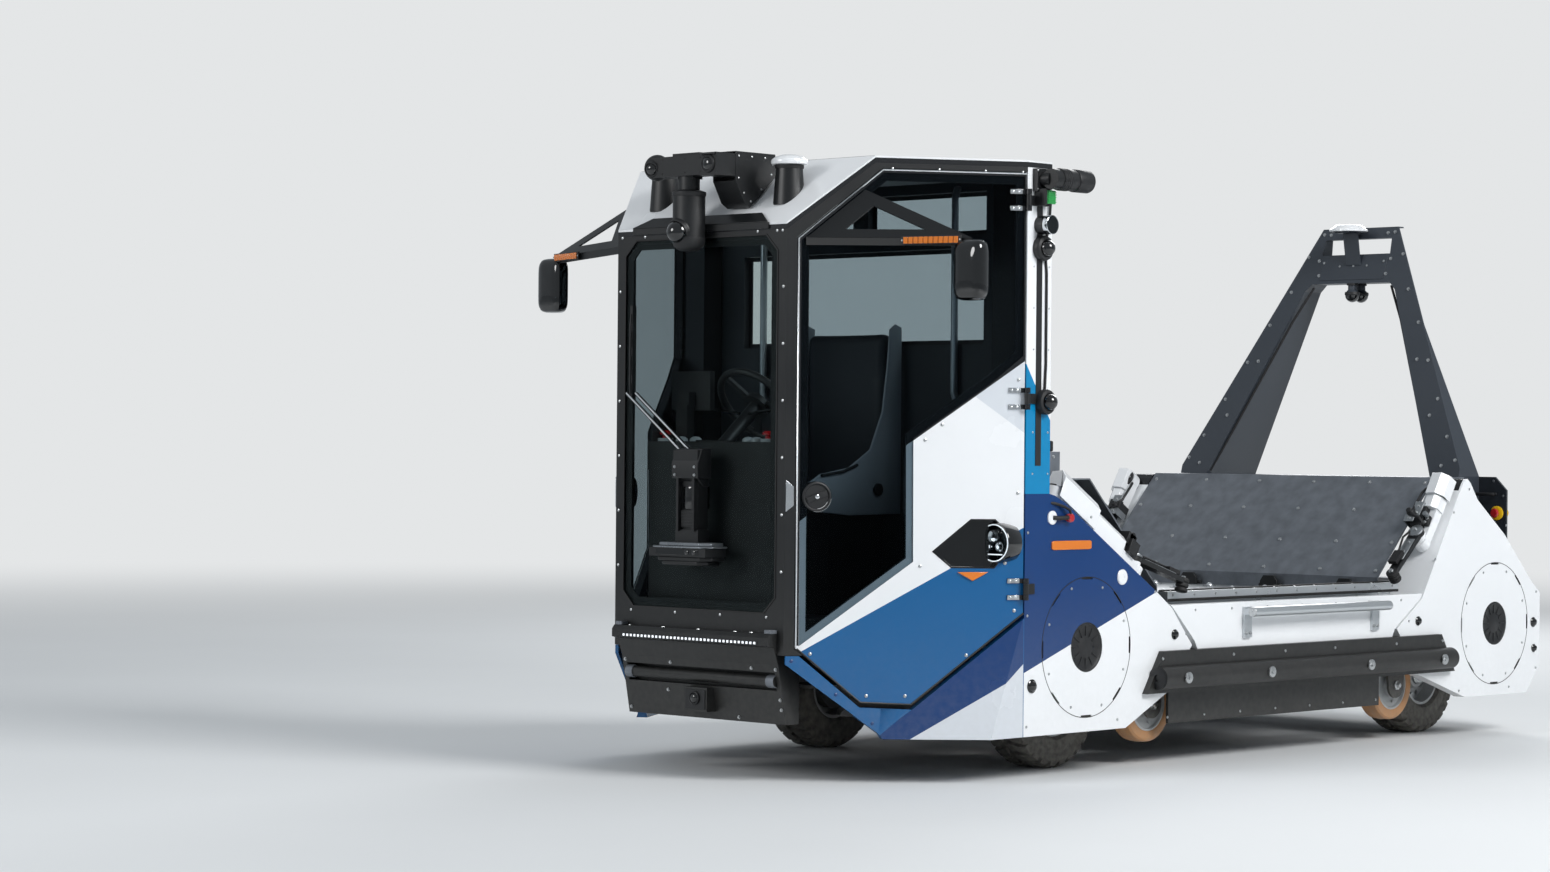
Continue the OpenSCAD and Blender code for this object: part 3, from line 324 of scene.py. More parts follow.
# Powder coat on steel: satin black with the faint orange peel of baked powder, grains near 2 mm
powder_black = coating("powder_coated_steel", "#101214", 0.42, 2.2, 0.1, dusty=0.16)
# Chassis enamel: flatter and greyer, brushed over welds
chassis_enamel = coating("chassis_enamel", "#2c2e31", 0.55, 4, 0.2, dusty=0.6)
# Battery box lacquer: plain mid grey on sheet steel
battery_lacquer = coating("battery_box_lacquer", "#54585d", 0.5, 3, 0.12, dusty=0.5)
# Zinc-plated steel: bolts and rivets that catch small bright points
zinc = coating("zinc_plated_steel", "#c6c8c9", 0.3, 3, 0.03, metallic=1.0, drift_mm=12, uneven=0.15)
# Corrugated conduit: dull black nylon with ribs 4 mm apart
nylon = coating("conduit_nylon", "#1a1a1c", 0.6, 4, 0.5)
dress(powder_black, "chassis_frame", "cab_floor")
dress(chassis_enamel, "axle_beams", *(n for n in nodes if n.startswith("knuckle")))
dress(battery_lacquer, "battery_pack")

rail_face = 0.331
axles = {"front": 0.874, "rear": -1.684}
bolts([(x + dx, rail_face, 0.5) for x in (-1.257, -0.405, 0.447) for dx in (-0.04, 0.04)], OUT, 0.009)
bolts([(x + dx, rail_face, 0.455) for x in axles.values() for dx in (-0.035, 0.035)], OUT, 0.009)
pair("chassis_bolts_*", zinc)
for z in (0.475, 0.5):
    tube([(-2.02, 0.245, z), (-1.2, 0.245, z), (0.4, 0.245, z), (1.95, 0.245, z)], 0.01)
pair("chassis_conduits_*", nylon)

# Battery lid: a folded lip with a bolt every 200 mm, and two orange traction cables to the front axle
for y in (-0.562, 0.56):
    block((-0.955, y, 0.372), (0.145, y + 0.002, 0.396))
for x in (-0.957, 0.145):
    block((x, -0.56, 0.372), (x + 0.002, 0.56, 0.396))
settle("battery_lid_lip", battery_lacquer)
for face in (-1, 1):
    bolts([(-0.905 + 0.2 * i, 0.562 * face, 0.384) for i in range(6)], (0, face, 0), 0.006)
bolts([(0.147, -0.5 + 0.25 * i, 0.384) for i in range(5)], FORE, 0.006)
settle("battery_lid_bolts", zinc)
# Cable sheath: the orange of high-voltage leads, soft gloss
cable_orange = coating("cable_sheath_orange", "#d9631e", 0.45, 5, 0.05, dusty=0.3)
for y in (-0.12, 0.12):
    tube([(0.14, y, 0.33), (0.22, y, 0.33), (0.34, y, 0.36), (0.5, y, 0.37), (0.7, y, 0.36), (0.8, y, 0.33),
          (0.831, y, 0.31)], 0.013)
settle("traction_cables", cable_orange)

# Wheels
# Cushion tyres of black rubber with blocks moulded across both shoulders, on pressed steel
# rims that six nuts hold to the hub. Each turns with its wheel.
# Tyre rubber: dark warm grey, dull, with road dust in the tread
tyre_rubber = coating("tyre_rubber", "#242425", 0.8, 3, 0.4, drift_mm=60, uneven=0.2, dusty=0.8)
# Rim enamel: silver paint over pressed steel, a little chalky low down
rim_enamel = coating("rim_enamel", "#b4b8bb", 0.4, 2, 0.08, dusty=0.6)
dress(rim_enamel, *(n for n in nodes if n.startswith("rim")))
tyre_radius, tread_floor, blocks = 0.25, 0.238, 26
# Each block fills this share of its pitch, and slants by so many radians in a metre of width
lug_share, lug_slant = 0.62, 1.2
carcass = [(0.127, 0.078), (0.139, 0.0895), (0.183, 0.089), (0.187, 0.0868), (0.193, 0.0868), (0.197, 0.0885),
           (0.222, 0.088), (0.236, 0.074), (tread_floor, 0.004)]
lug = [(0.237, 0.011), (tyre_radius, 0.012), (tyre_radius, 0.064), (0.2385, 0.085), (0.22, 0.0895),
       (0.22, 0.08)]
for end, x in axles.items():
    hub = facing((x, 0.584, 0.25), OUT)
    body = f"wheel_{end}_*"
    turned([(r, -h) for r, h in carcass] + [(r, h) for r, h in reversed(carcass)], hub, 52, ring=True)
    for i in range(blocks):
        for flank, first in ((-1, i), (1, i + 0.5)):
            rows = []
            for turn in (0.0, 0.5, 1.0):
                angle = 2 * math.pi * (first + lug_share * turn) / blocks
                swung = [(r, angle + h * lug_slant, flank * h) for r, h in lug]
                rows.append(row([(r * math.cos(a), r * math.sin(a), h) for r, a, h in swung], hub))
            skin_over(rows)
    for side, tyre in pair(f"tyre_{end}_*_tread", tyre_rubber, body):
        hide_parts(f"tyre_{end}_{side}")
    bolts(placed(hub, around(0.086, 6, 0.018, 0.5)), OUT, 0.011)
    turned([(0.04, 0.048), (0.038, 0.06), (0.03, 0.068), (0, 0.071)], hub, 24)
    pair(f"wheel_nuts_{end}_*", zinc, body)

# Deck
# An aluminium plate with rows of steel ball units, extruded side rails with guide rollers,
# and folded galvanised sheets that slope up to the two ends.
def deck_tones(tree, place):
    """Dull plate with bright ball units standing above it."""
    high = calc(tree, "GREATER_THAN", apart(tree, place)["Z"], 0.6445)
    return pick(tree, high, srgb("#a9adb0"), srgb("#dfe2e4"))


# Rolled aluminium: matt pale metal with fine lines along the deck; the balls are bright steel
deck_alloy = coating("rolled_aluminium", deck_tones, 0.36, 1.6, 0.06, metallic=0.9, brushed=(0.06, 1, 1))
# Anodised extrusion: smoother and paler than the plate
rail_alloy = coating("anodised_aluminium", "#ccd0d3", 0.3, 1.2, 0.03, metallic=0.85, brushed=(0.04, 1, 1))
# Galvanised sheet: cool grey with a faint spangle of patches near 60 mm
galvanised = coating("galvanised_sheet", "#81868d", 0.42, 8, 0.06, metallic=0.55, drift_mm=60, uneven=0.3)
# Moulded rubber and nylon: black, dull
black_rubber = coating("moulded_rubber", "#151516", 0.62, 4, 0.12, dusty=0.2)
dress(deck_alloy, "deck")
dress(rail_alloy, "deck_rails")
dress(galvanised, "cradles", "arm_pivots")

rail_top, rail_out, deck_top = 0.68, 0.8273, 0.64
for i in range(8):
    for dx in (-0.006, 0.006):
        turned([(0.016, deck_top + 0.009), (0.018, deck_top + 0.012), (0.018, deck_top + 0.036),
                (0.016, deck_top + 0.039)], at((-1.055 + 0.186 * i, 0.742 + dx, 0)), 20)
pair("guide_rollers_*", black_rubber)
block((-1.243, 0.779, rail_top), (0.373, 0.797, rail_top + 0.006))
block((-1.243, rail_out, 0.6405), (0.373, rail_out + 0.003, 0.652))
pair("rail_rubber_*", black_rubber, edge=0.002)
rivets([(-1.2 + 0.14 * i, rail_out, 0.667) for i in range(12)], OUT, 0.006)
rivets([(-1.2 + 0.14 * i, 0.813, rail_top) for i in range(12)], UP, 0.006, FORE)
pair("rail_rivets_*", zinc)
spots = [x + dx for x in (-0.895, 0.005) for dx in (-0.013, 0.013)]
bolts([(x, 0.951, 0.51) for x in spots], OUT, 0.006)
bolts([(x, 0.968, 0.609) for x in spots], UP, 0.005, FORE)
for x, out in ((-0.927, AFT), (0.037, FORE)):
    turned([(0.0201, -0.002), (0.0185, 0.003), (0, 0.004)], facing((x, 0.995, 0.597), out), 24)
pair("grab_bar_bolts_*", zinc)

# Folding end stops: black steel flaps on a pin at each end of the deck
flap = [(-0.045, 0), (0.045, 0), (0.045, 0.028), (0.028, 0.052), (-0.028, 0.052), (-0.045, 0.028)]
for face, x in ((1, 0.335), (-1, -1.145)):
    pin_x = x + face * 0.012
    for y in (-0.62, -0.22, 0.22, 0.62):
        slab(flap, -0.006, 0.006, facing((x, y, deck_top), (face, 0, 0)))
        tube([(pin_x, y - 0.06, deck_top + 0.01), (pin_x, y + 0.06, deck_top + 0.01)], 0.008)
settle("deck_end_stops", powder_black, edge=0.001)

# Rivet rows on both slopes and on the ledge behind the cab
slope_foot, slope_head = Vector((0.366, 0, 0.702)), Vector((0.794, 0, 1.128))
for face in (1, -1):
    for share in (0.06, 0.34, 0.66, 0.94):
        spot = slope_foot.lerp(slope_head, share)
        x = spot.x if face > 0 else -0.81 - spot.x
        rivets([(x, y, spot.z) for y in (-0.74, -0.45, -0.15, 0.15, 0.45, 0.74)], (-face, 0, 1), 0.01, OUT)
settle("slope_rivets", zinc)
rivets([(0.801, -0.55 + 0.22 * i, z) for i in range(6) for z in (1.15, 1.212)], AFT, 0.008)
for face in (1, -1):
    rivets([(x, 0.62 * face, z) for x in (0.84, 0.98, 1.12) for z in (1.15, 1.212)], (0, face, 0), 0.008)
settle("ledge_rivets", zinc)
# Cooling louvres on the ledge, pressed steel blades in a frame
block((0.86, -0.42, 1.2325), (1.16, 0.42, 1.238))
blade = [(0.01, 0), (-0.008, 0.011), (-0.01, 0.009), (0.008, -0.002)]
for i in range(13):
    slab(blade, 0, 0.8, facing((0.882 + 0.0215 * i, -0.4, 1.24), OUT))
settle("ledge_louvres", powder_black)
# A black rubber stop block stands at each end of the ledge
for y in (-0.55, 0.55):
    block((0.815, y - 0.05, 1.2325), (0.855, y + 0.05, 1.275))
settle("ledge_stops", black_rubber, edge=0.006)

# Outriggers
# Four cast wheels with thick orange urethane tyres turn in dark forks, just clear of the
# ground, so that the vehicle can't tip when a load rolls across.
# Cast urethane: translucent orange-tan, scuffed dull on the tread
castor_urethane = coating("cast_urethane", "#c58a50", 0.42, 5, 0.12, ior=1.52, drift_mm=50, uneven=0.2,
                          dusty=0.5)
dress(chassis_enamel, "castor_housings")
castor_x = {"front": 0.447, "rear": -1.257}
castor_tread = [(0.106, 0.041), (0.112, 0.044), (0.14, 0.043), (0.1475, 0.036), (0.1495, 0.018), (0.15, 0)]
castor_hub = [(0.1065, 0.04), (0.098, 0.042), (0.094, 0.03), (0.06, 0.022), (0.04, 0.026), (0.034, 0.044),
              (0.016, 0.044), (0.016, 0.058), (0, 0.059)]
for end, x in castor_x.items():
    hub = facing((x, 0.75, 0.236), OUT)
    body = f"castor_{end}_*"
    turned([(r, -h) for r, h in castor_tread[:-1]] + [(r, h) for r, h in reversed(castor_tread)], hub, 48,
           ring=True)
    for side, tread in pair(f"castor_tyre_{end}_*", castor_urethane, body):
        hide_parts(f"castor_{end}_{side}")
    turned([(r, -h) for r, h in reversed(castor_hub)] + castor_hub, hub, 36)
    bolts(placed(hub, around(0.077, 5, 0.026)), OUT, 0.006)
    pair(f"castor_hub_{end}_*", rim_enamel, body)
    bolts([(x + dx, 0.8135, 0.375) for dx in (-0.052, 0.052)], OUT, 0.008)
    turned([(0.022, 0), (0.022, 0.007), (0.013, 0.01), (0.01, 0.02), (0, 0.021)],
           facing((x, 0.813, 0.236), OUT), 6)
    pair(f"castor_bolts_{end}_*", zinc)

# Side panels
# Moulded glass-fibre panels over both axles with flush white sills between them. The front
# panels are navy above a rising edge, and the posts above them cyan and then white.
# The fifth of these colours, a light grey, is painted shade: white paint as it looks where the folded corners
# of the skirts and doors turn away from the light.
white, navy, blue, cyan, shaded_white, frame_black = "#eceef0", "#00356e", "#005a93", "#007fb3", "#d3d8de", "#17181b"


def under(tree, across, up, a, b):
    """1 below the straight painted edge through points a and b, else 0."""
    slope = (b[1] - a[1]) / (b[0] - a[0])
    line = calc(tree, "MULTIPLY_ADD", across, slope, a[1] - slope * a[0])
    return calc(tree, "LESS_THAN", up, line)


def panel_bands(tree, place):
    """Navy below a rising edge, then white; cyan and white on the posts, whose inner faces are black."""
    spot = apart(tree, place)
    base = pick(tree, under(tree, spot["X"], spot["Z"], (1.38, 0.411), (0.642, 0.671)), srgb(navy),
                srgb(white))
    post = calc(tree, "GREATER_THAN", spot["Z"], 1.075)
    upper = pick(tree, under(tree, spot["X"], spot["Z"], (1.25, 1.35), (1.392, 1.56)), srgb(white),
                 srgb(cyan))
    side = calc(tree, "ABSOLUTE", spot["Y"])
    inner = calc(tree, "LESS_THAN", side, 0.93)
    lining = calc(tree, "MULTIPLY", post, inner)
    return pick(tree, lining, pick(tree, post, base, upper), srgb(frame_black))


# Gel coat: smooth and glossy over glass fibre, with the slow ripple of the mould, waves near 30 mm
panel_gel = coating("banded_gel_coat", panel_bands, 0.22, 30, 0.05, clear=0.12, uneven=0.03, dusty=0.15)
white_gel = coating("white_gel_coat", white, 0.22, 30, 0.05, clear=0.5, uneven=0.03, dusty=0.1)
dress(panel_gel, "front_pods", "rear_pods", "hatch_covers", "side_sills")
# Amber and clear polycarbonate: coloured lenses with moulded ribs 3 mm apart
amber_lens = coating("amber_polycarbonate", "#e07a1c", 0.18, 3, 0.3, ior=1.58, clear=0.6)
red_lens = coating("red_polycarbonate", "#b3161b", 0.18, 3, 0.3, ior=1.58, clear=0.6)
# Gloss black acrylic: sensor windows and lamp housings, deep and mirror-smooth
gloss_black = coating("gloss_black_acrylic", "#060708", 0.07, 40, 0.01, ior=1.49, clear=0.8, uneven=0.02)
# Moulded ABS: black with a fine leather grain, cells near 1.5 mm
black_abs = coating("moulded_abs", "#18191b", 0.5, 1.5, 0.08)

skin_y, hatch_radius, hub_radius, hatch_height = 0.939, 0.267, 0.095, 0.49
hatch_x = {"front": 1.021, "rear": -1.831}
for end, x in hatch_x.items():
    place = facing((x, skin_y, hatch_height), OUT)
    # A latch tongue shows black in each notch, behind a thin rubber seal round the cover
    for k in range(8):
        turn = place @ Matrix.Rotation(math.pi * k / 4, 4, "Z")
        block((-0.031, hatch_radius - 0.0085, -0.013), (0.031, hatch_radius + 0.0005, -0.004), turn)
    inner, outer = hatch_radius - 0.0012, hatch_radius + 0.0016
    turned([(inner, -0.004), (inner, 0.0006), (outer, 0.0006), (outer, -0.004)], place, 96, ring=True)
    pair(f"hatch_seal_{end}_*", black_rubber)
    rivets(placed(place, around(0.243, 8, start=0.5)), OUT, 0.006)
    pair(f"hatch_screws_{end}_*", zinc)
    # Hub cover: dished black disc with ribs, let into the hatch
    turned([(hub_radius, -0.0079), (hub_radius, -0.001), (0.088, 0.0005), (0.082, -0.004), (0.045, -0.006),
            (0.04, -0.003), (0, -0.002)], place, 64)
    for k in range(12):
        turn = place @ Matrix.Rotation(math.pi * k / 6, 4, "Z")
        block((-0.003, 0.043, -0.0065), (0.003, 0.081, -0.0028), turn)
    pair(f"hub_cover_{end}_*", black_abs)

# Round parking sensors on the skins: gloss domes in black rings
sensor_spots = {"front": [(1.346, 0.356, 0.026), (0.474, 0.52, 0.02)],
                "rear": [(-2.147, 0.485, 0.022), (-2.152, 0.369, 0.018), (-1.229, 0.519, 0.02)]}
for end, spots in sensor_spots.items():
    for x, z, r in spots:
        turned([(r, -0.001), (r, 0.003), (r * 0.84, 0.006), (r * 0.8, 0.005), (r * 0.62, 0.012),
                (r * 0.32, 0.015), (0, 0.016)], facing((x, skin_y, z), OUT), 32)
    pair(f"parking_sensors_{end}_*", gloss_black)

# Side marker, fuel-cap style cover, and the red stop connector with its looped lead
bar = [(-0.118, -0.013), (-0.108, -0.017), (0.108, -0.017), (0.118, -0.013), (0.118, 0.013), (0.108, 0.017),
       (-0.108, 0.017), (-0.118, 0.013)]
slab(bar, -0.001, 0.006, facing((1.12, skin_y, 0.88), OUT))
pair("side_marker_*", amber_lens, edge=0.002)
turned([(0.03, -0.001), (0.03, 0.004), (0.026, 0.007), (0.01, 0.007), (0.009, 0.005), (0, 0.005)],
       facing((0.809, skin_y, 0.752), OUT), 36)
turned([(0.026, -0.001), (0.026, 0.005), (0.02, 0.008), (0.012, 0.008)], facing((1.236, skin_y, 0.985), OUT),
       32)
pair("panel_caps_*", white_gel)
tube([(1.236, skin_y + 0.006, 0.985), (1.215, skin_y + 0.016, 0.983), (1.185, skin_y + 0.019, 0.984),
      (1.16, skin_y + 0.017, 0.985)], 0.0085)
tube([(1.158, skin_y + 0.014, 0.986), (1.148, skin_y + 0.02, 1.0), (1.152, skin_y + 0.019, 1.014),
      (1.172, skin_y + 0.014, 1.024), (1.2, skin_y + 0.01, 1.032), (1.224, skin_y + 0.006, 1.038),
      (1.238, skin_y - 0.002, 1.04), (1.24, skin_y - 0.012, 1.04)], 0.0055)
pair("stop_lead_*", nylon)
turned([(0.012, -0.001), (0.012, 0.008), (0.017, 0.01), (0.018, 0.02), (0.014, 0.026), (0, 0.027)],
       facing((1.146, skin_y, 0.984), OUT), 28)
pair("stop_connector_*", red_lens)
rivets([(x, skin_y, z) for x, z in ((1.375, 0.205), (1.375, 0.62), (1.375, 0.93), (0.83, 0.205), (0.58, 0.35),
                                    (0.4, 0.52), (0.6, 0.69), (1.0, 0.985))], OUT, 0.006)
rivets([(x, skin_y, z) for x, z in ((-2.17, 0.62), (-2.17, 0.28), (-1.95, 0.205), (-1.55, 0.205),
                                    (-1.35, 0.33), (-1.16, 0.52), (-1.36, 0.78), (-1.5, 0.98), (-1.62, 1.08),
                                    (-1.92, 0.92))], OUT, 0.006)
rivets([(-1.1 + 0.24 * i, skin_y, 0.612) for i in range(7)], OUT, 0.006)
pair("panel_rivets_*", zinc)

# Bumpers along the sides
# A black powder-coated channel carries a round extruded rubber fender on four bolts, with a
# deep plain skirt below it.
# Extruded rubber: black with a dull sheen and long faint drawing lines
fender_rubber = coating("extruded_rubber", "#141517", 0.45, 6, 0.06, brushed=(0.03, 1, 1), dusty=0.15)
dress(powder_black, "side_bumpers")
dress(fender_rubber, "fenders")
for x in (-1.305, -0.755, -0.055, 0.495):
    turned([(0.022, -0.002), (0.022, 0.004), (0.01, 0.005)], facing((x, 1.0265, 0.356), OUT), 24)
    bolts([(x, 1.029, 0.356)], OUT, 0.009)
pair("fender_bolts_*", zinc)
for x, face in ((0.6255, 1), (-1.4255, -1)):
    turned([(0.043, -0.004), (0.043, 0.004), (0.036, 0.008), (0.014, 0.009), (0.012, 0.004), (0, 0.004)],
           facing((x, 0.976, 0.356), (face, 0, 0)), 36)
pair("fender_caps_*", black_abs)
rivets([(x, 0.965, z) for z in (0.325, 0.43) for x in (-1.38, -1.03, -0.58, -0.23, 0.12, 0.58)], OUT, 0.007)
rivets([(-1.0 + 0.24 * i, 0.881, 0.19) for i in range(7)], OUT, 0.006)
pair("channel_rivets_*", zinc)

# Cab shell
# A folded steel frame in black with white roof panels and a white back wall, on painted
# skirts whose lower corners fold out to meet the side panels. Pop rivets hold the skins.
nose_x, nose_y, half_width, post_x = 2.177, 0.449, 0.939, 1.392
door_turn = math.atan2(half_width - nose_y, nose_x - post_x)
door_back = Vector((-math.cos(door_turn), math.sin(door_turn), 0))
door_out = Vector((math.sin(door_turn), math.cos(door_turn), 0))


def door_spot(tree, place):
    """Height, distance back along the door, and distance out of its plane, as sockets."""
    spot = apart(tree, place)
    flat = add(tree, "CombineXYZ", {"X": spot["X"], "Y": calc(tree, "ABSOLUTE", spot["Y"])}).outputs[0]
    from_nose = add(tree, "VectorMath", {0: flat, 1: (nose_x, nose_y, 0)}, operation="SUBTRACT").outputs[0]
    back, out = [add(tree, "VectorMath", {0: from_nose, 1: axis}, operation="DOT_PRODUCT").outputs["Value"]
                 for axis in (door_back, door_out)]
    return spot, back, out


def skirt_bands(tree, place):
    """Blue in the door's plane; on the corners that fold out, navy at their foot, and a light grey that is
    painted shade: white paint as it looks where those facets turn away from the light.
    """
    spot, back, out = door_spot(tree, place)
    # Painted shade: below this edge the corner facets get light grey, which is white paint as it looks in
    # shadow; above it they are navy.
    low = under(tree, spot["X"], spot["Z"], (1.771, 0.181), (1.433, 0.415))
    facet = pick(tree, low, srgb(navy), srgb(shaded_white))
    flat = calc(tree, "LESS_THAN", out, 0.002)
    return pick(tree, flat, facet, srgb(blue))


def door_bands(tree, place):
    """Blue, then white above a rising edge; a light grey painted shade on the corner where the panel folds
    back and catches less light; black round the glass and inside.
    """
    spot, back, out = door_spot(tree, place)
    band = under(tree, back, spot["Z"], (0.061, 0.49), (0.917, 0.948))
    lower = pick(tree, band, srgb(white), srgb(blue))
    # Painted shade: above this edge the corner that folds back gets light grey, which is the white paint as
    # it looks in shade.
    shaded_fold = under(tree, back, spot["Z"], (0.73, 1.434), (0.914, 1.306))
    lower = pick(tree, shaded_fold, srgb(shaded_white), lower)
    sill = under(tree, back, spot["Z"], (0.489, 1.27), (0.792, 1.481))
    tall = pick(tree, sill, srgb(frame_black), lower)
    thin = calc(tree, "LESS_THAN", back, 0.0575)
    high = calc(tree, "GREATER_THAN", spot["Z"], 0.514)
    corner = calc(tree, "MULTIPLY", thin, high)
    edge = pick(tree, corner, tall, srgb(frame_black))
    inside = calc(tree, "LESS_THAN", out, -0.012)
    away = calc(tree, "GREATER_THAN", out, 0.004)
    hidden = calc(tree, "MAXIMUM", inside, away)
    return pick(tree, hidden, edge, srgb(frame_black))


def roof_bands(tree, place):
    """White on top, black down the edges and under the slope."""
    spot = apart(tree, place)
    slope = under(tree, spot["X"], spot["Z"], (nose_x, 2.061), (1.893, 2.313))
    below = calc(tree, "LESS_THAN", spot["Z"], 2.313)
    front = calc(tree, "GREATER_THAN", spot["X"], 1.893)
    sloped = calc(tree, "MULTIPLY", slope, front)
    level = calc(tree, "MULTIPLY", calc(tree, "SUBTRACT", 1.0, front), below)
    edge = calc(tree, "MAXIMUM", sloped, level)
    return pick(tree, edge, srgb(white), srgb(frame_black))


def wall_bands(tree, place):
    """White outer skin, charcoal trim on the cab's side."""
    inner = calc(tree, "GREATER_THAN", apart(tree, place)["X"], 1.2515)
    return pick(tree, inner, srgb(white), srgb("#2b2e32"))


# Two-pack paint on steel: even, glossy, with a shallow orange peel of 8 mm waves
# The skirt and door paints also carry painted shade: light grey on the corner facets that turn away from the
# light.
skirt_paint_and_shade = coating("banded_skirt_paint_and_shade", skirt_bands, 0.25, 8, 0.02, clear=0.1, uneven=0.04, dusty=0.2)
door_paint_and_shade = coating("banded_door_paint_and_shade", door_bands, 0.25, 8, 0.02, clear=0.1, uneven=0.04, dusty=0.1)
roof_gel = coating("roof_gel_coat", roof_bands, 0.24, 30, 0.05, clear=0.4, uneven=0.03)
wall_paint = coating("back_wall_paint", wall_bands, 0.3, 8, 0.03, uneven=0.04)
dress(skirt_paint_and_shade, "cab_skirts")
dress(door_paint_and_shade, "door_left", "door_right")
dress(roof_gel, "roof")
dress(powder_black, "cab_frame", "mirror_left", "mirror_right")
dress(wall_paint, "cab_rear_wall")


def on_door(back, up, out=0.0):
    """A point of the left door's outer plane."""
    return Vector((nose_x, nose_y, 0)) + door_back * back + door_out * out + Vector((0, 0, up))


door_place = Matrix((door_back, UP, door_out)).transposed().to_4x4()
door_place.translation = (nose_x, nose_y, 0)


def band(outer, inner, low, high, place=Matrix()):
    """A flat frame between two outlines with the same number of corners."""
    edges = ((outer, low), (outer, high), (inner, high), (inner, low))
    skin_over([row([(u, v, w) for u, v in line], place) for line, w in edges], closed=True)


def inset(outline, depth):
    """The outline with each edge moved inward by depth; it runs anticlockwise."""
    moved = []
    for i, point in enumerate(outline):
        before, after = Vector(outline[i - 1]), Vector(outline[(i + 1) % len(outline)])
        point = Vector(point)
        a, b = (point - before).normalized(), (after - point).normalized()
        na, nb = Vector((-a.y, a.x)), Vector((-b.y, b.x))
        moved.append(point + (na + nb) * depth / (1 + na.dot(nb)))
    return [tuple(p) for p in moved]


# Rivets along the nose frame and both door headers, and a folded brow plate under the sensors
rivets([(nose_x, y, 0.784 + 0.2096 * i) for i in range(6) for y in (-0.434, 0.434)], FORE, 0.0065)
rivets([(nose_x, y, 2.038) for y in (-0.425, -0.3, 0.3, 0.4, 0.428)], FORE, 0.0065)
rivets([(nose_x, y, 0.615) for y in (-0.36, -0.12, 0.12, 0.36)], FORE, 0.0065)
settle("nose_rivets", zinc)
brow = facing((nose_x, 0, 2.068), (0.6637, 0, 0.748), (-0.748, 0, 0.6637))
slab([(-0.36, -0.004), (0.36, -0.004), (0.29, 0.052), (-0.29, 0.052)], 0, 0.01, brow)
block((nose_x, -0.36, 2.046), (nose_x + 0.008, 0.36, 2.07))
settle("brow_plate", powder_black, edge=0.001)
rivets([on_door(s, 2.274) for s in (0.4, 0.58, 0.76, 0.905)], door_out, 0.0055)
pair("header_rivets_*", zinc)
rivets([on_door(s, z) for s, z in ((0.03, 0.458), (0.2, 0.334), (0.34, 0.226))], door_out, 0.0075)
pair("skirt_rivets_*", skirt_paint_and_shade)

# Folded strip of the skirt below the door's front edge, and the dark flange behind their gap
slab([(0.008, 0.445), (0.366, 0.187), (0.372, 0.2805), (0.291, 0.285), (0.058, 0.476), (0.008, 0.476)],
     -0.012, 0.0004, door_place)
pair("skirt_strip_*", skirt_paint_and_shade)
slab([(0.23, 0.25), (0.6, 0.23), (0.6, 0.39), (0.5, 0.33), (0.28, 0.335)], -0.056, -0.052, door_place)
pair("skirt_flange_*", black_rubber)

# Posts behind the doors: a black slot plate between two strips, riveted down both edges
block((1.306, skin_y, 1.18), (1.338, 0.9415, 2.275))
pair("post_slot_*", black_abs, edge=0.0008)
heights = [1.15 + 0.155 * i for i in range(8) if i != 2]
rivets([(x, skin_y, z) for z in heights for x in (1.264, 1.352)], OUT, 0.0045)
pair("post_rivets_*", zinc)
rivets([(1.25, y, z) for z in (1.28, 1.46, 1.595, 2.285) for y in (-0.7, -0.42, -0.14, 0.14, 0.42, 0.7)], AFT,
       0.006)
rivets([(x, y, 2.32) for x in (1.28, 1.86) for y in (-0.85, -0.45, 0, 0.45, 0.85) if abs(y) < 0.5 or x < 1.5],
       UP, 0.006, FORE)
settle("back_and_roof_rivets", zinc)
# Roof seams: two flat sealant joints across the roof
block((1.885, -0.62, 2.3185), (1.893, 0.62, 2.3208))
block((1.56, -0.82, 2.3185), (1.566, 0.82, 2.3208))
settle("roof_seams", black_rubber)
# Roof vent: a low louvred cowl of white moulding behind the sensors
cowl = [(-0.11, 0), (0.11, 0), (0.11, 0.008), (0.085, 0.017), (-0.085, 0.017), (-0.11, 0.008)]
slab(cowl, -0.16, 0.16, facing((1.46, 0, 2.32), FORE))
settle("roof_vent", white_gel, edge=0.003)
for i in range(7):
    block((1.325 + 0.04 * i, -0.095, 2.3355), (1.341 + 0.04 * i, 0.095, 2.3385))
settle("roof_vent_slots", black_rubber)

# Glass
# Flush bonded panes: a lightly tinted windscreen and darker doors, each with a black printed
# border behind its edge and a rubber bead round it.
def tinted(name, tint, body):
    """Flat bonded glass: light is tinted at each face, and gloss grows at a glancing angle."""
    material, tree, place = blank(name)
    rough = ramp(tree, noise(tree, place, 220, 5.0), (0.35, 0.75), (0.015, 0.07))
    through = add(tree, "BsdfTransparent", {"Color": srgb(tint)})
    shine = add(tree, "BsdfPrincipled", {"Base Color": srgb("#0c0f12"), "Roughness": rough})
    angle = add(tree, "LayerWeight", {"Blend": 0.5}).outputs["Facing"]
    share = calc(tree, "MULTIPLY_ADD", calc(tree, "POWER", angle, 5.0), 0.8, body)
    pane = add(tree, "MixShader", {0: share, 1: through.outputs[0], 2: shine.outputs[0]})
    add(tree, "OutputMaterial", {"Surface": pane.outputs[0]})
    return material


# Grey-green laminated glass, clear enough to show the seat and the wheel
screen_glass = tinted("laminated_screen_glass", "#e9eeee", 0.045)
# Privacy glass: darker, so that the cab reads as shadow with windows beyond
door_glass = tinted("privacy_glass", "#d3dade", 0.05)
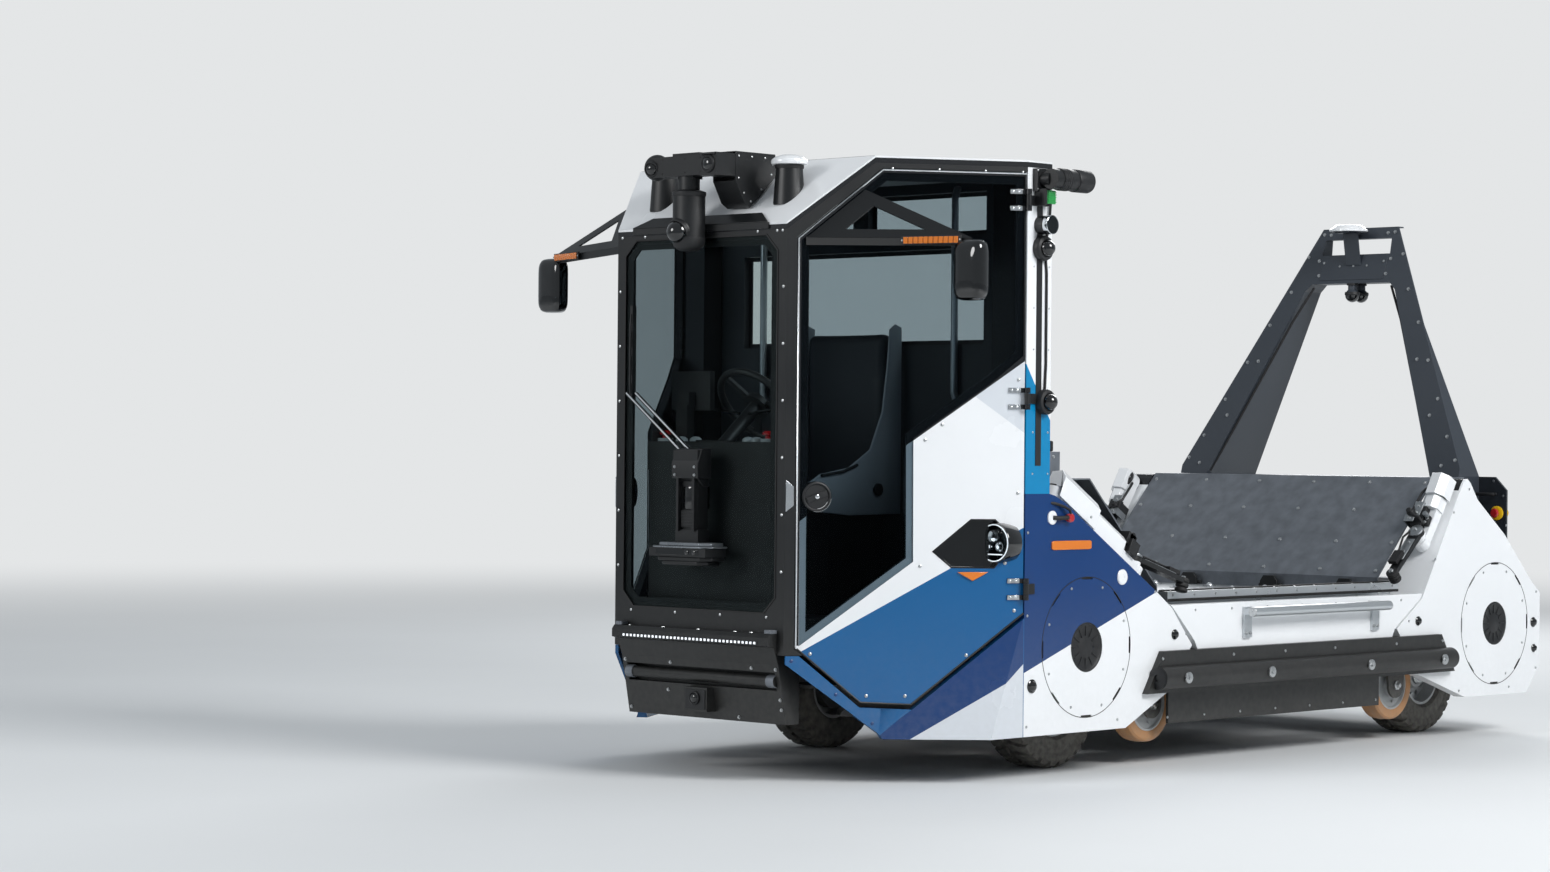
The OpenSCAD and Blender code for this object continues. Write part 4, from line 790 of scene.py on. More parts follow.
# Ceramic frit: black enamel baked on the inner face, satin
frit = coating("ceramic_frit", "#101113", 0.35, 2, 0.01, uneven=0.02)
dress(screen_glass, "cab_glass")
dress(door_glass, "door_glass_left", "door_glass_right")
screen_place = facing((nose_x, 0, 0), FORE)
screen_line = [(-0.39, 0.694), (-0.34, 0.644), (0.34, 0.644), (0.39, 0.694), (0.39, 1.96), (0.34, 2.01),
               (-0.34, 2.01), (-0.39, 1.96)]
band(inset(screen_line, 0.0005), inset(screen_line, 0.022), -0.01, -0.0065, screen_place)
settle("screen_border", frit)
band(inset(screen_line, -0.0175), inset(screen_line, -0.012), -0.001, 0.0025, screen_place)
settle("screen_bead", black_rubber)
back_place = facing((1.25, 0, 0), AFT)
back_lines = [[(-0.64, 1.64), (0.64, 1.64), (0.64, 2.01), (-0.64, 2.01)],
              [(0.04, 2.06), (0.65, 2.06), (0.65, 2.225), (0.04, 2.225)],
              [(-0.65, 2.06), (-0.04, 2.06), (-0.04, 2.225), (-0.65, 2.225)]]
for line in back_lines:
    band(inset(line, -0.0175), inset(line, -0.012), -0.001, 0.0025, back_place)
settle("rear_window_beads", black_rubber)
for line in back_lines:
    band(inset(line, 0.0005), inset(line, 0.018), -0.01, -0.0065, back_place)
settle("rear_window_borders", frit)

# Doors
# Bonded-glass doors hung on three leaf hinges at their back edge. Each has a bright edge
# trim, a black printed border, a rotary latch, a faired headlamp and a mirror on a folded arm.
door_length = (Vector((nose_x, nose_y)) - Vector((post_x, half_width))).length
pane_line = [(0.058, 0.512), (0.492, 0.822), (0.489, 1.279), (0.792, 1.489), (door_length - 0.012, 1.589),
             (door_length - 0.012, 2.258), (0.368, 2.258), (0.057, 2.004)]
lamp_line = [(0.57, 0.86), (0.64, 0.803), (0.805, 0.801), (0.89, 0.903), (0.808, 0.977), (0.715, 0.977)]
trim_line = [(0.0465, 0.508), (0.0465, 2.009), (0.3645, 2.2685), (door_length - 0.005, 2.2685)]
rivet_line = [(0.534, 1.273), (0.896, 1.078), (0.519, 0.806), (0.848, 0.817), (0.885, 0.64), (0.101, 0.484),
              (0.316, 0.328), (0.465, 0.326), (0.7, 0.475), (0.896, 1.5), (0.6, 1.33)]
# Bright trim: polished anodised strip that catches a thin line of light
bright_trim = coating("polished_trim", "#dfe2e4", 0.16, 2, 0.02, metallic=1.0, drift_mm=200, uneven=0.05)
# Mirror glass: silvered, near-perfect reflection
silvered = coating("silvered_glass", "#c9cfd4", 0.03, 60, 0.005, metallic=1.0, uneven=0.02)
# Lit light-emitting diodes behind clear lenses: pale, brighter than white paint but not glaring
led_white, tree, place = blank("white_diodes")
cells = add(tree, "TexVoronoi", {"Vector": place, "Scale": 1000 / 8}).outputs["Distance"]
lit = ramp(tree, cells, (0.0, 0.6), (1.0, 0.55))
glow = add(tree, "BsdfPrincipled", {"Base Color": srgb("#eef3f6"), "Roughness": 0.2,
                                    "Emission Color": srgb("#f4f9ff"), "Emission Strength": lit})
add(tree, "OutputMaterial", {"Surface": glow.outputs[0]})
# Vacuum-metallised plastic: the bright bowl of a lamp
reflector = coating("metallised_reflector", "#d5d9dc", 0.12, 6, 0.05, metallic=1.0, drift_mm=20)
# Clear polycarbonate cover over the lamps
clear_lens = tinted("clear_polycarbonate", "#f4f7f8", 0.04)

apex = Vector((1.912, 1.094, 2.0))
lamp_face, lamp_y, lamp_z = 1.4915, 0.873, 0.892
body = "door_*"
tube([on_door(s, z, 0.0005) for s, z in trim_line], 0.0032, 6)
pair("door_trim_*", bright_trim, body)
band(inset(pane_line, 0.001), inset(pane_line, 0.03), -0.0095, -0.0066, door_place)
pair("door_border_*", frit, body)
edge_line = [(0.05, 0.503), (0.293, 0.3045), (0.488, 0.2945), (door_length - 0.004, 0.63)]
tube([on_door(s, z, 0.001) for s, z in edge_line], 0.0035, 6)
pair("door_lower_seal_*", black_rubber, body)
rivets([on_door(s, z) for s, z in rivet_line], door_out, 0.0075)
pair("door_rivets_*", zinc, body)

# Hinge leaves in bright steel with two screws in each, on the door
for z in (0.72, 1.43, 2.17):
    for leaf in (z - 0.031, z + 0.031):
        low = (door_length - 0.069, leaf - 0.0085, 0.0052)
        block(low, (door_length - 0.022, leaf + 0.0085, 0.0066), door_place)
        rivets([on_door(door_length - s, leaf, 0.0066) for s in (0.058, 0.036)], door_out, 0.0045)
pair("door_hinge_leaves_*", bright_trim, body, edge=0.0005)

# Rotary latch: ribbed black cup with a bar grip and a bright lock in the middle
latch = door_place @ at((0.122, 1.061, 0))
turned([(0.055, -0.001), (0.055, 0.003), (0.05, 0.005), (0.046, 0.004), (0.0435, -0.01), (0.04, -0.0135),
        (0, -0.0135)], latch, 40)
block((-0.041, -0.011, -0.0135), (0.041, 0.011, 0.006), latch @ Matrix.Rotation(0.35, 4, "Z"))
pair("door_latch_*", black_abs, body, edge=0.0015)
turned([(0.008, 0.004), (0.008, 0.008), (0.0065, 0.009), (0, 0.009)], latch, 20)
block((-0.0008, -0.004, 0.009), (0.0008, 0.004, 0.0094), latch)
pair("door_lock_*", bright_trim, body)

# Headlamp: black fairing in the door, a round lamp with a lit ring and three bowls
slab(inset(lamp_line, 0.001), -0.0258, -0.024, door_place)
band(inset(lamp_line, -0.004), inset(lamp_line, 0.002), -0.0258, 0.0016, door_place)
pair("lamp_fairing_*", gloss_black, body, edge=0.0008)
lamp = facing((lamp_face, lamp_y, lamp_z), FORE)
turned([(0.0752, -0.074), (0.0765, -0.07), (0.0765, -0.004), (0.074, 0.002), (0.0715, 0.0025),
        (0.07, -0.0005), (0, -0.0005)], lamp, 64)
pair("lamp_housing_*", gloss_black, body)
turned([(0.07, 0.0006), (0.07, 0.0035), (0.0662, 0.0035), (0.0662, 0.0006)], lamp, 64, ring=True)
for u, v in ((0.0, 0.012), (-0.016, -0.014), (0.018, -0.016)):
    spot = lamp @ at((u, v, 0))
    turned([(0.0065, 0.0006), (0.0065, 0.004), (0, 0.0055)], spot, 16)
block((-0.042, -0.045, 0.0006), (0.042, -0.0405, 0.004), lamp)
pair("lamp_diodes_*", led_white, body)
for u, v, r in ((0.0, 0.024, 0.027), (-0.03, -0.014, 0.02), (0.03, -0.014, 0.02)):
    spot = lamp @ at((u, v, 0))
    turned([(r, 0.0006), (r, 0.0075), (r * 0.86, 0.0075), (r * 0.55, 0.0015), (r * 0.3, 0.0012)], spot, 32)
pair("lamp_bowls_*", reflector, body)
turned([(0.0712, 0.0022), (0.07, 0.006), (0.06, 0.0105), (0.035, 0.014), (0, 0.0152)], lamp, 64)
pair("lamp_lens_*", clear_lens, body)
slab([(0.662, 0.784), (0.721, 0.751), (0.782, 0.784)], -0.001, 0.008, door_place)
pair("door_marker_*", amber_lens, body, edge=0.002)

# Mirror: folded black arm with a triangular cut-out, amber lamp strip and moulded head
low_foot, high_foot = on_door(0.09, 2.014, 0.014), on_door(0.298, 2.184, 0.014)
outer = [low_foot, high_foot, apex]
middle = sum(outer, Vector()) / 3
normal = (high_foot - low_foot).cross(apex - low_foot).normalized()
plies = ((1.06, -0.003), (1.06, 0.003), (0.52, 0.003), (0.52, -0.003))
skin_over([row([(p - middle) * share for p in outer], at(middle + normal * lift)) for share, lift in plies],
          closed=True)
run = (apex - low_foot).normalized()
lip = [low_foot - run * 0.02, apex + run * 0.015]
drop = Vector((0, 0, -0.03))
thick = run.cross(Vector(UP)).normalized() * 0.003
skin_over([row((lip[0], lip[1], lip[1] + drop, lip[0] + drop), at(half)) for half in (-thick, thick)])
for side, arm in pair("mirror_arm_*", powder_black, body):
    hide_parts(f"mirror_{side}")
strip = facing(low_foot.lerp(apex, 0.78) + Vector((0, 0, -0.01)), run.cross(Vector(UP)) * -1)
toward = 1 if strip.col[2].x > 0 else -1
strip = facing(strip.translation, strip.col[2].xyz * toward)
block((-0.118, -0.016, 0.01), (0.118, 0.016, 0.018), strip)
pair("mirror_lamp_case_*", black_abs, body, edge=0.002)
for i in range(11):
    block((-0.1065 + 0.0196 * i, -0.012, 0.018), (-0.0895 + 0.0196 * i, 0.012, 0.0225), strip)
pair("mirror_lamp_*", amber_lens, body, edge=0.0015)
rivets([strip @ Vector((u, 0, 0.018)) for u in (-0.113, 0.113)], strip.col[2].xyz, 0.004)
pair("mirror_lamp_screws_*", zinc, body)

# Head: crowned shell with wide corner radii, open at the back where the glass sits
middle, half_y, half_z = Vector((1.912, 1.11, 1.883)), 0.066, 0.109


def oval(scale):
    """The head's outline, a rounded upright oblong, at this scale."""
    circle = around(1, 40, start=0.5)
    square = [(math.copysign(abs(c) ** 0.42, c), math.copysign(abs(s) ** 0.32, s)) for c, s, h in circle]
    return [(half_y * scale * y, half_z * scale * z) for y, z in square]


crown = ((-0.024, 0.86), (-0.0245, 0.94), (-0.018, 1.0), (0.004, 1.0), (0.018, 0.975), (0.027, 0.9),
         (0.033, 0.72), (0.036, 0.4))
skin_over([row([(x, y, z) for y, z in oval(scale)], at(middle)) for x, scale in crown])
for side, head in pair("mirror_head_*", gloss_black, body, smooth=50):
    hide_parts(f"mirror_{side}")
slab(oval(0.84), 0.0, 0.0022, facing(middle + Vector((-0.0243, 0, 0)), AFT))
pair("mirror_glass_*", silvered, body)

# Latch keeper: a bright folded plate round the nose corner, in front of the latch
slab([(0.004, 1.005), (0.034, 1.028), (0.034, 1.098), (0.004, 1.122)], 0.0003, 0.004, door_place)
pair("latch_keeper_*", bright_trim, edge=0.001)

# Front bumper
# A folded and powder-coated steel bumper bolted under the nose, with a row of white diodes let
# into its lip, a round bar in its slot and a small camera in a box below the bar.
dress(powder_black, "front_bumper")
nose_skin = 2.1785
block((2.2225, -0.364, 0.5135), (2.2258, 0.364, 0.53))
settle("bumper_light_bezel", black_abs, edge=0.0008)
for i in range(36):
    block((2.2245, -0.3535 + 0.0199 * i, 0.517), (2.2275, -0.3435 + 0.0199 * i, 0.526))
settle("bumper_diodes", led_white, edge=0.0008)
panel_out = Vector((0.9823, 0, -0.1867))
rivets([(2.195, y, 0.557) for y in (-0.345, -0.166, 0.023, 0.217, 0.3)], UP, 0.0075, FORE)
bolts([(2.127 + (z - 0.219) * 0.19, y, z) for y, z in ((-0.153, 0.424), (0.276, 0.424), (0.4, 0.424),
                                                       (-0.184, 0.318), (-0.022, 0.312), (0.405, 0.311),
                                                       (0.405, 0.274), (0.179, 0.234), (-0.4, 0.24),
                                                       (-0.4, 0.424))], panel_out, 0.0055)
settle("bumper_bolts", zinc)
for y in (-0.418, 0.374):
    slab([(nose_skin, y), (2.2, y), (2.214, y + 0.012), (2.214, y + 0.044), (nose_skin, y + 0.044)], 0.5573,
         0.5705)
settle("bumper_corner_steps", galvanised, edge=0.0015)
block((2.1825, -0.052, 0.256), (2.1865, 0.052, 0.33))
turned([(0.026, 0), (0.026, 0.006), (0.021, 0.009), (0.019, 0.005), (0, 0.005)],
       facing((2.1865, 0, 0.298), FORE), 32)
settle("bumper_camera_face", black_abs, edge=0.001)
turned([(0.0185, 0.0055), (0.015, 0.0105), (0.008, 0.0135), (0, 0.0145)], facing((2.1865, 0, 0.298), FORE),
       32)
settle("bumper_camera_glass", gloss_black)
turned([(0.021, -0.019), (0.0245, -0.019), (0.0245, 0.019), (0.021, 0.019)],
       facing((2.152, 0.375, 0.379), OUT), 28, ring=True)
pair("bumper_bar_clamp_*", galvanised, edge=0.001)

# Nose scanner
# A black laser scanner under a folded hood, on a tray that carries more sensors, bolted to
# the windscreen frame. The wiper is pivoted beside the hood.
# Grey lacquered sheet: the tray's bright top edge
tray_lacquer = coating("silver_lacquer", "#8d9297", 0.3, 2, 0.03, metallic=0.7, drift_mm=60)
dress(powder_black, "front_scanner")
side_on = Matrix(((1, 0, 0, 0), (0, 0, -1, 0), (0, 1, 0, 0), (0, 0, 0, 1)))
slab([(nose_skin, 1.122), (2.25, 1.122), (2.252, 1.176), (2.23, 1.232), (nose_skin, 1.236)], -0.069, 0.069,
     side_on)
slab([(nose_skin, 1.09), (2.205, 1.09), (2.24, 1.122), (nose_skin, 1.122)], -0.058, 0.058, side_on)
settle("scanner_hood", powder_black, edge=0.0025)
bolts([(2.2515, y, z) for y in (-0.052, 0.052) for z in (1.135, 1.165)], FORE, 0.0045)
bolts([(2.228, y, z) for y in (-0.042, 0.042) for z in (0.935, 1.075)], FORE, 0.004)
bolts([(2.2405, y, 1.207) for y in (-0.05, 0.05)], (0.93, 0, 0.366), 0.0045)
settle("scanner_bolts", zinc)
turned([(0.0485, 1.008), (0.05, 1.014), (0.05, 1.084), (0.0485, 1.09)], at((2.187, 0, 0)), 48)
settle("scanner_window", gloss_black)
block((2.226, -0.034, 0.94), (2.235, 0.034, 1.002))
for i in range(5):
    block((2.2345, -0.03, 0.946 + 0.011 * i), (2.2375, 0.03, 0.951 + 0.011 * i))
settle("scanner_cooling_ribs", black_abs, edge=0.001)
tray = [(nose_skin, -0.16), (2.258, -0.16), (2.292, -0.122), (2.292, 0.122), (2.258, 0.16), (nose_skin, 0.16)]
slab(tray, 0.8625, 0.869)
slab([(x - (0.0 if x < 2.2 else 0.016), y * 0.86) for x, y in tray], 0.869, 0.882)
settle("scanner_tray_top", tray_lacquer, edge=0.003)
for low, share in ((0.814, 0.9), (0.798, 0.74)):
    slab([(x - (0 if x < 2.2 else 0.02 * (1.6 - share)), y * share) for x, y in tray], low, low + 0.0162)
settle("scanner_tray_body", powder_black, edge=0.004)
block((2.2865, -0.112, 0.836), (2.2895, 0.112, 0.857))
for y in (0.055, 0.092):
    turned([(0.01, 0), (0.01, 0.002), (0.008, 0.0035), (0, 0.004)], facing((2.2893, y, 0.8465), FORE), 24)
settle("scanner_tray_windows", gloss_black, edge=0.001)
block((2.27, -0.1385, 0.838), (2.284, -0.1195, 0.858))
settle("scanner_tray_lamp", red_lens, edge=0.002)
# Wiper: two pressed arms with bright upper faces, a hub on each, and a bridged blade
for y in (0.01, -0.04):
    tube([(2.207, y, 1.206), (2.2075, y - 0.165, 1.3275), (2.206, y - 0.325, 1.443)], 0.0042, 8)
settle("wiper_arm_rods", bright_trim)
for y in (0.01, -0.04):
    turned([(0.013, 0.02), (0.013, 0.034), (0.01, 0.037), (0, 0.038)], facing((2.177, y, 1.2), FORE), 24)
for y, z in ((-0.3455, 1.495), (-0.3455, 1.6), (-0.3455, 1.695)):
    block((2.1975, y - 0.009, z - 0.016), (2.206, y + 0.009, z + 0.016))
tube([(2.2065, -0.3455, 1.44), (2.2085, -0.3455, 1.52), (2.2085, -0.3455, 1.66), (2.205, -0.3455, 1.745)],
     0.0035, 8)
settle("wiper_bridge", black_abs, edge=0.001)

# Roof sensors
# Black cast housings on a stem that stands off the nose: a ball camera and a square camera on
# one bar, a dome under it and a riveted bracket back to the roof. Beside it, two aerials.
dress(powder_black, "roof_sensors")
ball_camera = facing((2.245, -0.165, 2.29), (0.94, 0.28, -0.18))
square_camera = facing((2.299, 0.16, 2.288), FORE)
low_camera = facing((2.29, -0.006, 2.041), (0.93, 0, -0.37))
turned([(0.03, 0.04), (0.03, 0.05), (0.026, 0.054), (0.023, 0.05), (0, 0.05)], ball_camera, 36)
turned([(0.034, 0), (0.034, 0.006), (0.029, 0.009), (0.025, 0.005), (0, 0.005)], square_camera, 36)
block((2.2985, 0.124, 2.3215), (2.312, 0.196, 2.3285))
turned([(0.062, 2.022), (0.062, 2.006), (0.056, 1.988), (0.038, 1.974), (0, 1.968)], at((2.239, 0, 0)), 48)
turned([(0.05, -0.06), (0.05, -0.004), (0.048, 0.004), (0.044, 0.004), (0.044, -0.06)], low_camera, 40,
       ring=True)
turned([(0.0625, 2.176), (0.064, 2.18), (0.064, 2.192), (0.04, 2.2)], at((2.239, 0, 0)), 48)
settle("camera_barrels", black_abs, edge=0.001)
turned([(0.0225, 0.049), (0.018, 0.056), (0.009, 0.06), (0, 0.061)], ball_camera, 36)
turned([(0.0245, 0.0045), (0.019, 0.011), (0.01, 0.014), (0, 0.015)], square_camera, 36)
turned(dome(0.0435, (-8, 10, 28, 46, 62, 78, 90)), low_camera, 40)
settle("camera_glass", gloss_black)
turned([(0.0505, -0.02), (0.052, -0.017), (0.052, -0.009), (0.0505, -0.006)], low_camera, 40, ring=True)
rivets([(2.2845, y, z) for y in (-0.1, 0.02, 0.1) for z in (2.262, 2.314)], FORE, 0.0035)
settle("camera_rings", powder_black)
cheek = [(2.196, 2.338), (1.985, 2.338), (1.985, 2.252), (2.035, 2.206), (2.118, 2.132), (2.15, 2.15),
         (2.196, 2.23)]
for y in (0.084, 0.2):
    slab(cheek, -y - 0.002, -y + 0.002, side_on)
block((1.985, 0.084, 2.3355), (2.196, 0.2, 2.3395))
block((1.983, 0.084, 2.256), (1.987, 0.2, 2.338))
slab([(2.196, 2.23), (2.15, 2.15), (2.118, 2.132), (2.114, 2.136), (2.148, 2.156), (2.192, 2.232)], -0.2,
     -0.084, side_on)
for x in (2.02, 2.14):
    block((x, 0.06, 2.3355), (x + 0.03, 0.086, 2.3395))
settle("sensor_bracket", powder_black, edge=0.0008)
rivets([(x, 0.202, z) for x, z in ((2.18, 2.322), (2.11, 2.322), (2.04, 2.322), (2.0, 2.3), (2.006, 2.262),
                                   (2.06, 2.204), (2.115, 2.156), (2.152, 2.186), (2.18, 2.24))], OUT, 0.0045)
rivets([(x, 0.142, 2.3395) for x in (2.0, 2.06, 2.12, 2.18)], UP, 0.0045, FORE)
rivets([(x, y, 2.337) for x in (1.81, 1.86) for y in (-0.05, 0.05)], UP, 0.0055, FORE)
settle("sensor_bracket_rivets", zinc)
turned([(0.05, 2.2895), (0.067, 2.2925), (0.069, 2.301), (0.066, 2.31), (0.052, 2.32), (0.028, 2.327),
        (0, 2.329)], at((2.043, 0.33, 0)), 48)
pair("aerial_dome_*", white_gel)
turned([(0.053, 2.276), (0.0545, 2.279), (0.0545, 2.289), (0.05, 2.2905)], at((2.043, 0.33, 0)), 48)
pair("aerial_collar_*", black_rubber)

# Column fittings
# On each black column behind a door: a bullet camera that looks back, a green status lamp, a
# clear work lamp and two dome cameras on round bases, all screwed on from outside.
# Green polycarbonate: a saturated lens, darker at its edges
green_lens = coating("green_polycarbonate", "#1f9a45", 0.16, 3, 0.3, ior=1.58, clear=0.6)
dress(powder_black, "pillar_fittings")
column_y, dome_spots = 0.9393, ((1.315, 1.994), (1.294, 1.419))
bullet = facing((1.155, 1.0093, 2.25), AFT)
turned([(0.04, -0.15), (0.04, -0.02), (0.0385, -0.017), (0.036, -0.02), (0.036, -0.15)], bullet, 40,
       ring=True)
turned([(0.0415, -0.06), (0.043, -0.056), (0.043, 0.022), (0.0415, 0.026), (0.0385, 0.026), (0.0385, -0.06)],
       bullet, 40, ring=True)
for k in range(4):
    turned([(0.04, -0.1 - 0.012 * k), (0.042, -0.102 - 0.012 * k), (0.042, -0.107 - 0.012 * k),
            (0.04, -0.109 - 0.012 * k)], bullet, 40, ring=True)
pair("bullet_camera_shell_*", black_abs)
turned([(0.036, 0.0004), (0.0345, 0.003), (0.02, 0.008), (0, 0.01)], bullet, 40)
pair("bullet_camera_glass_*", gloss_black)
block((1.286, 0.9395, 2.152), (1.352, 0.96, 2.214))
block((1.346, 0.9395, 2.152), (1.356, 0.995, 2.214))
pair("status_lamp_case_*", black_abs, edge=0.0015)
slab([(1.29, 0.96), (1.345, 0.96), (1.345, 0.988), (1.338, 0.995), (1.297, 0.995), (1.29, 0.988)], 2.158,
     2.208)
for k in range(5):
    block((1.294, 0.9945, 2.163 + 0.009 * k), (1.341, 0.997, 2.168 + 0.009 * k))
pair("status_lamp_lens_*", green_lens, edge=0.001)
work_lamp = facing((1.319, 0.9993, 2.08), OUT)
turned([(0.0352, -0.022), (0.0362, -0.02), (0.0362, 0.0), (0.034, 0.0015), (0.0325, -0.001), (0, -0.001)],
       work_lamp, 40)
pair("work_lamp_bowl_*", reflector)
turned([(0.033, 0.0004), (0.032, 0.004), (0.02, 0.009), (0, 0.011)], work_lamp, 40)
pair("work_lamp_lens_*", clear_lens)
for x, z in dome_spots:
    turned([(0.046, 0), (0.0475, 0.002), (0.0475, 0.02), (0.044, 0.0265), (0.034, 0.03), (0.031, 0.027)],
           facing((x, column_y, z), OUT), 48)
pair("dome_bases_*", black_abs)
for x, z in dome_spots:
    turned(dome(0.0306, (-10, 10, 28, 46, 62, 78, 90), 0.032), facing((x, column_y, z), OUT), 40)
pair("dome_glass_*", gloss_black)
rivets([(x + 0.04 * math.cos(a), 0.964, z + 0.04 * math.sin(a)) for x, z in dome_spots
        for a in (0.5, 2.6, 4.7)], OUT, 0.003)
rivets([(x, 0.9635, z) for x in (1.292, 1.362) for z in (2.213, 2.282)], OUT, 0.0045)
pair("column_screws_*", zinc)
tube([(1.29, 0.944, 1.95), (1.284, 0.944, 1.9), (1.284, 0.944, 1.56), (1.29, 0.944, 1.466)], 0.005, 8)
tube([(1.3, 0.946, 2.205), (1.272, 0.95, 2.17), (1.272, 0.946, 2.08), (1.286, 0.944, 2.036)], 0.005, 8)
pair("column_leads_*", nylon)

# Cab interior
# A seat of two stitched vinyl pads in a pale moulded shell, on the rear wall. Ahead of it stand
# a black dash with a tall wheel and a small screen, and a grab pole by each door.
# Seat vinyl: charcoal, soft sheen, a pebbled grain 3 mm across
seat_vinyl = coating("seat_vinyl", "#2d3035", 0.55, 3, 0.25, drift_mm=120, uneven=0.15)
# Moulded shell: pale grey plastic, lightly textured
shell_grey = coating("moulded_grey_shell", "#a9aeb2", 0.42, 2, 0.08, drift_mm=200)
dress(seat_vinyl, "seat_cushions")
dress(black_abs, "console")


def plump(name, low, high, cell, swell):
    """A stitched pad: a rounded block filled by cloth simulation, no point moving more than swell."""
    block(low, high)
    bmesh.ops.bevel(mesh, geom=mesh.edges[:], offset=0.026, segments=4, profile=0.5, affect="EDGES")
    pad = settle(name, seat_vinyl, smooth=180)
    skin = pad.modifiers.new("skin", "REMESH")
    skin.mode = "VOXEL"
    skin.voxel_size = cell
    for kind in ("CLOTH", "SUBSURF"):
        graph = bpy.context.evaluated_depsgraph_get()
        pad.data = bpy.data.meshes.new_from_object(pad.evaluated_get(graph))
        pad.modifiers.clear()
        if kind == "CLOTH":
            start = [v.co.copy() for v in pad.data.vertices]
            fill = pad.modifiers.new("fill", "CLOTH")
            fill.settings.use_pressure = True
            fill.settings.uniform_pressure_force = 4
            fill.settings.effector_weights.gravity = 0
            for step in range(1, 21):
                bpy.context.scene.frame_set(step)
            graph = bpy.context.evaluated_depsgraph_get()
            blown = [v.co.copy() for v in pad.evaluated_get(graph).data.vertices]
            pad.modifiers.clear()
            for vertex, a, b in zip(pad.data.vertices, start, blown):
                move = b - a
                vertex.co = a + move * min(1.0, swell / max(move.length, 1e-9))
            bpy.context.scene.frame_set(1)
            pad.modifiers.new("soften", "SUBSURF").levels = 1
    pad.data.shade_smooth()
    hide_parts("seat_cushions")


plump("seat_pad", (1.399, -0.21, 1.012), (1.833, 0.21, 1.098), 0.0065, 0.011)
plump("seat_back_pad", (1.316, -0.21, 1.042), (1.376, 0.21, 1.688), 0.0065, 0.007)
shell = [(1.304, 0.985), (1.6, 0.982), (1.8, 1.0), (1.842, 1.04), (1.836, 1.1), (1.76, 1.14), (1.6, 1.165),
         (1.48, 1.235), (1.412, 1.38), (1.385, 1.56), (1.372, 1.7), (1.34, 1.722), (1.304, 1.71)]
for y in (-0.236, 0.228):
    slab(shell, -y - 0.008, -y, side_on)
settle("seat_shell", shell_grey, edge=0.003)
for y in (-0.246, 0.242):
    tube([(1.56, y, 1.175), (1.64, y, 1.15), (1.76, y, 1.135)], 0.006, 8)
    turned([(0.024, -0.004), (0.024, 0.004), (0.016, 0.007), (0, 0.008)],
           facing((1.44, y, 1.08), (0, math.copysign(1, y), 0)), 28)
settle("seat_levers", black_abs)
for y in (-0.51, 0.51):
    tube([(1.268, y, 1.425), (1.3, y, 1.43), (1.31, y, 1.46), (1.31, y, 2.2), (1.3, y, 2.235),
          (1.268, y, 2.24)], 0.014, 16)
settle("grab_poles", rail_alloy)

# Dash fittings: hub cap and stalks on the wheel, a framed screen, stop buttons and switches
column = at((1.865, 0, 1.4)) @ Matrix.Rotation(math.radians(-50), 4, "Y")
turned([(0.046, 0.0115), (0.046, 0.016), (0.038, 0.021), (0.015, 0.023), (0, 0.023)], column, 36)
for side in (-1, 1):
    tube([(0.02, 0.025 * side, -0.075), (0.03, 0.12 * side, -0.07), (0.03, 0.155 * side, -0.062)], 0.006, 8,
         column)
settle("wheel_hub_cap", gloss_black)
dash_top = 1.2603
block((1.9325, -0.36, 1.39), (1.9352, -0.17, 1.52))
settle("dash_screen_glass", gloss_black, edge=0.001)
for y in (-0.3, 0.25):
    turned([(0.03, 0.0), (0.03, 0.01), (0.026, 0.012), (0, 0.012)], at((2.06, y, dash_top)), 32)
settle("dash_stop_bases", shell_grey)
for y in (-0.3, 0.25):
    turned([(0.012, 0.011), (0.012, 0.022), (0.022, 0.026), (0.023, 0.034), (0.016, 0.041), (0, 0.042)],
           at((2.06, y, dash_top)), 32)
settle("dash_stop_buttons", red_lens)
for y in (-0.215, -0.14, 0.14, 0.185):
    turned([(0.024, 0.0), (0.022, 0.01), (0.012, 0.017), (0, 0.019)], at((2.055, y, dash_top)), 28)
for i in range(6):
    block((1.952, -0.1 + 0.034 * i, 1.2), (1.956, -0.078 + 0.034 * i, 1.228))
settle("dash_caps_and_switches", shell_grey, edge=0.001)
for y in (-0.325, 0.32):
    block((1.96, y, 1.2602), (2.11, y + 0.005, 1.3))
for i in range(14):
    block((2.075, -0.09 + 0.013 * i, 1.2602), (2.105, -0.083 + 0.013 * i, 1.266))
settle("dash_vents", black_rubber, edge=0.0008)

# Sensor mast
# A leaning portal folded from slate-painted steel plate, bolted to the tail ledge. A plain white
# aerial disc stands on a folded bracket at its top, and two dome cameras hang below the bar.
# Slate powder coat: a blue-grey black with fine peel
slate = coating("slate_powder_coat", "#363c44", 0.4, 2.2, 0.1, dusty=0.1)
dress(slate, "sensor_mast")
lean, mast_top = math.radians(17), 2.28
mast_out = Vector((math.cos(lean), 0, math.sin(lean)))


def on_mast(y, z, out=0.0):
    """A point of the mast's front plane."""
    return Vector((-2.1507 + math.tan(lean) * (mast_top - z), y, z)) + mast_out * out


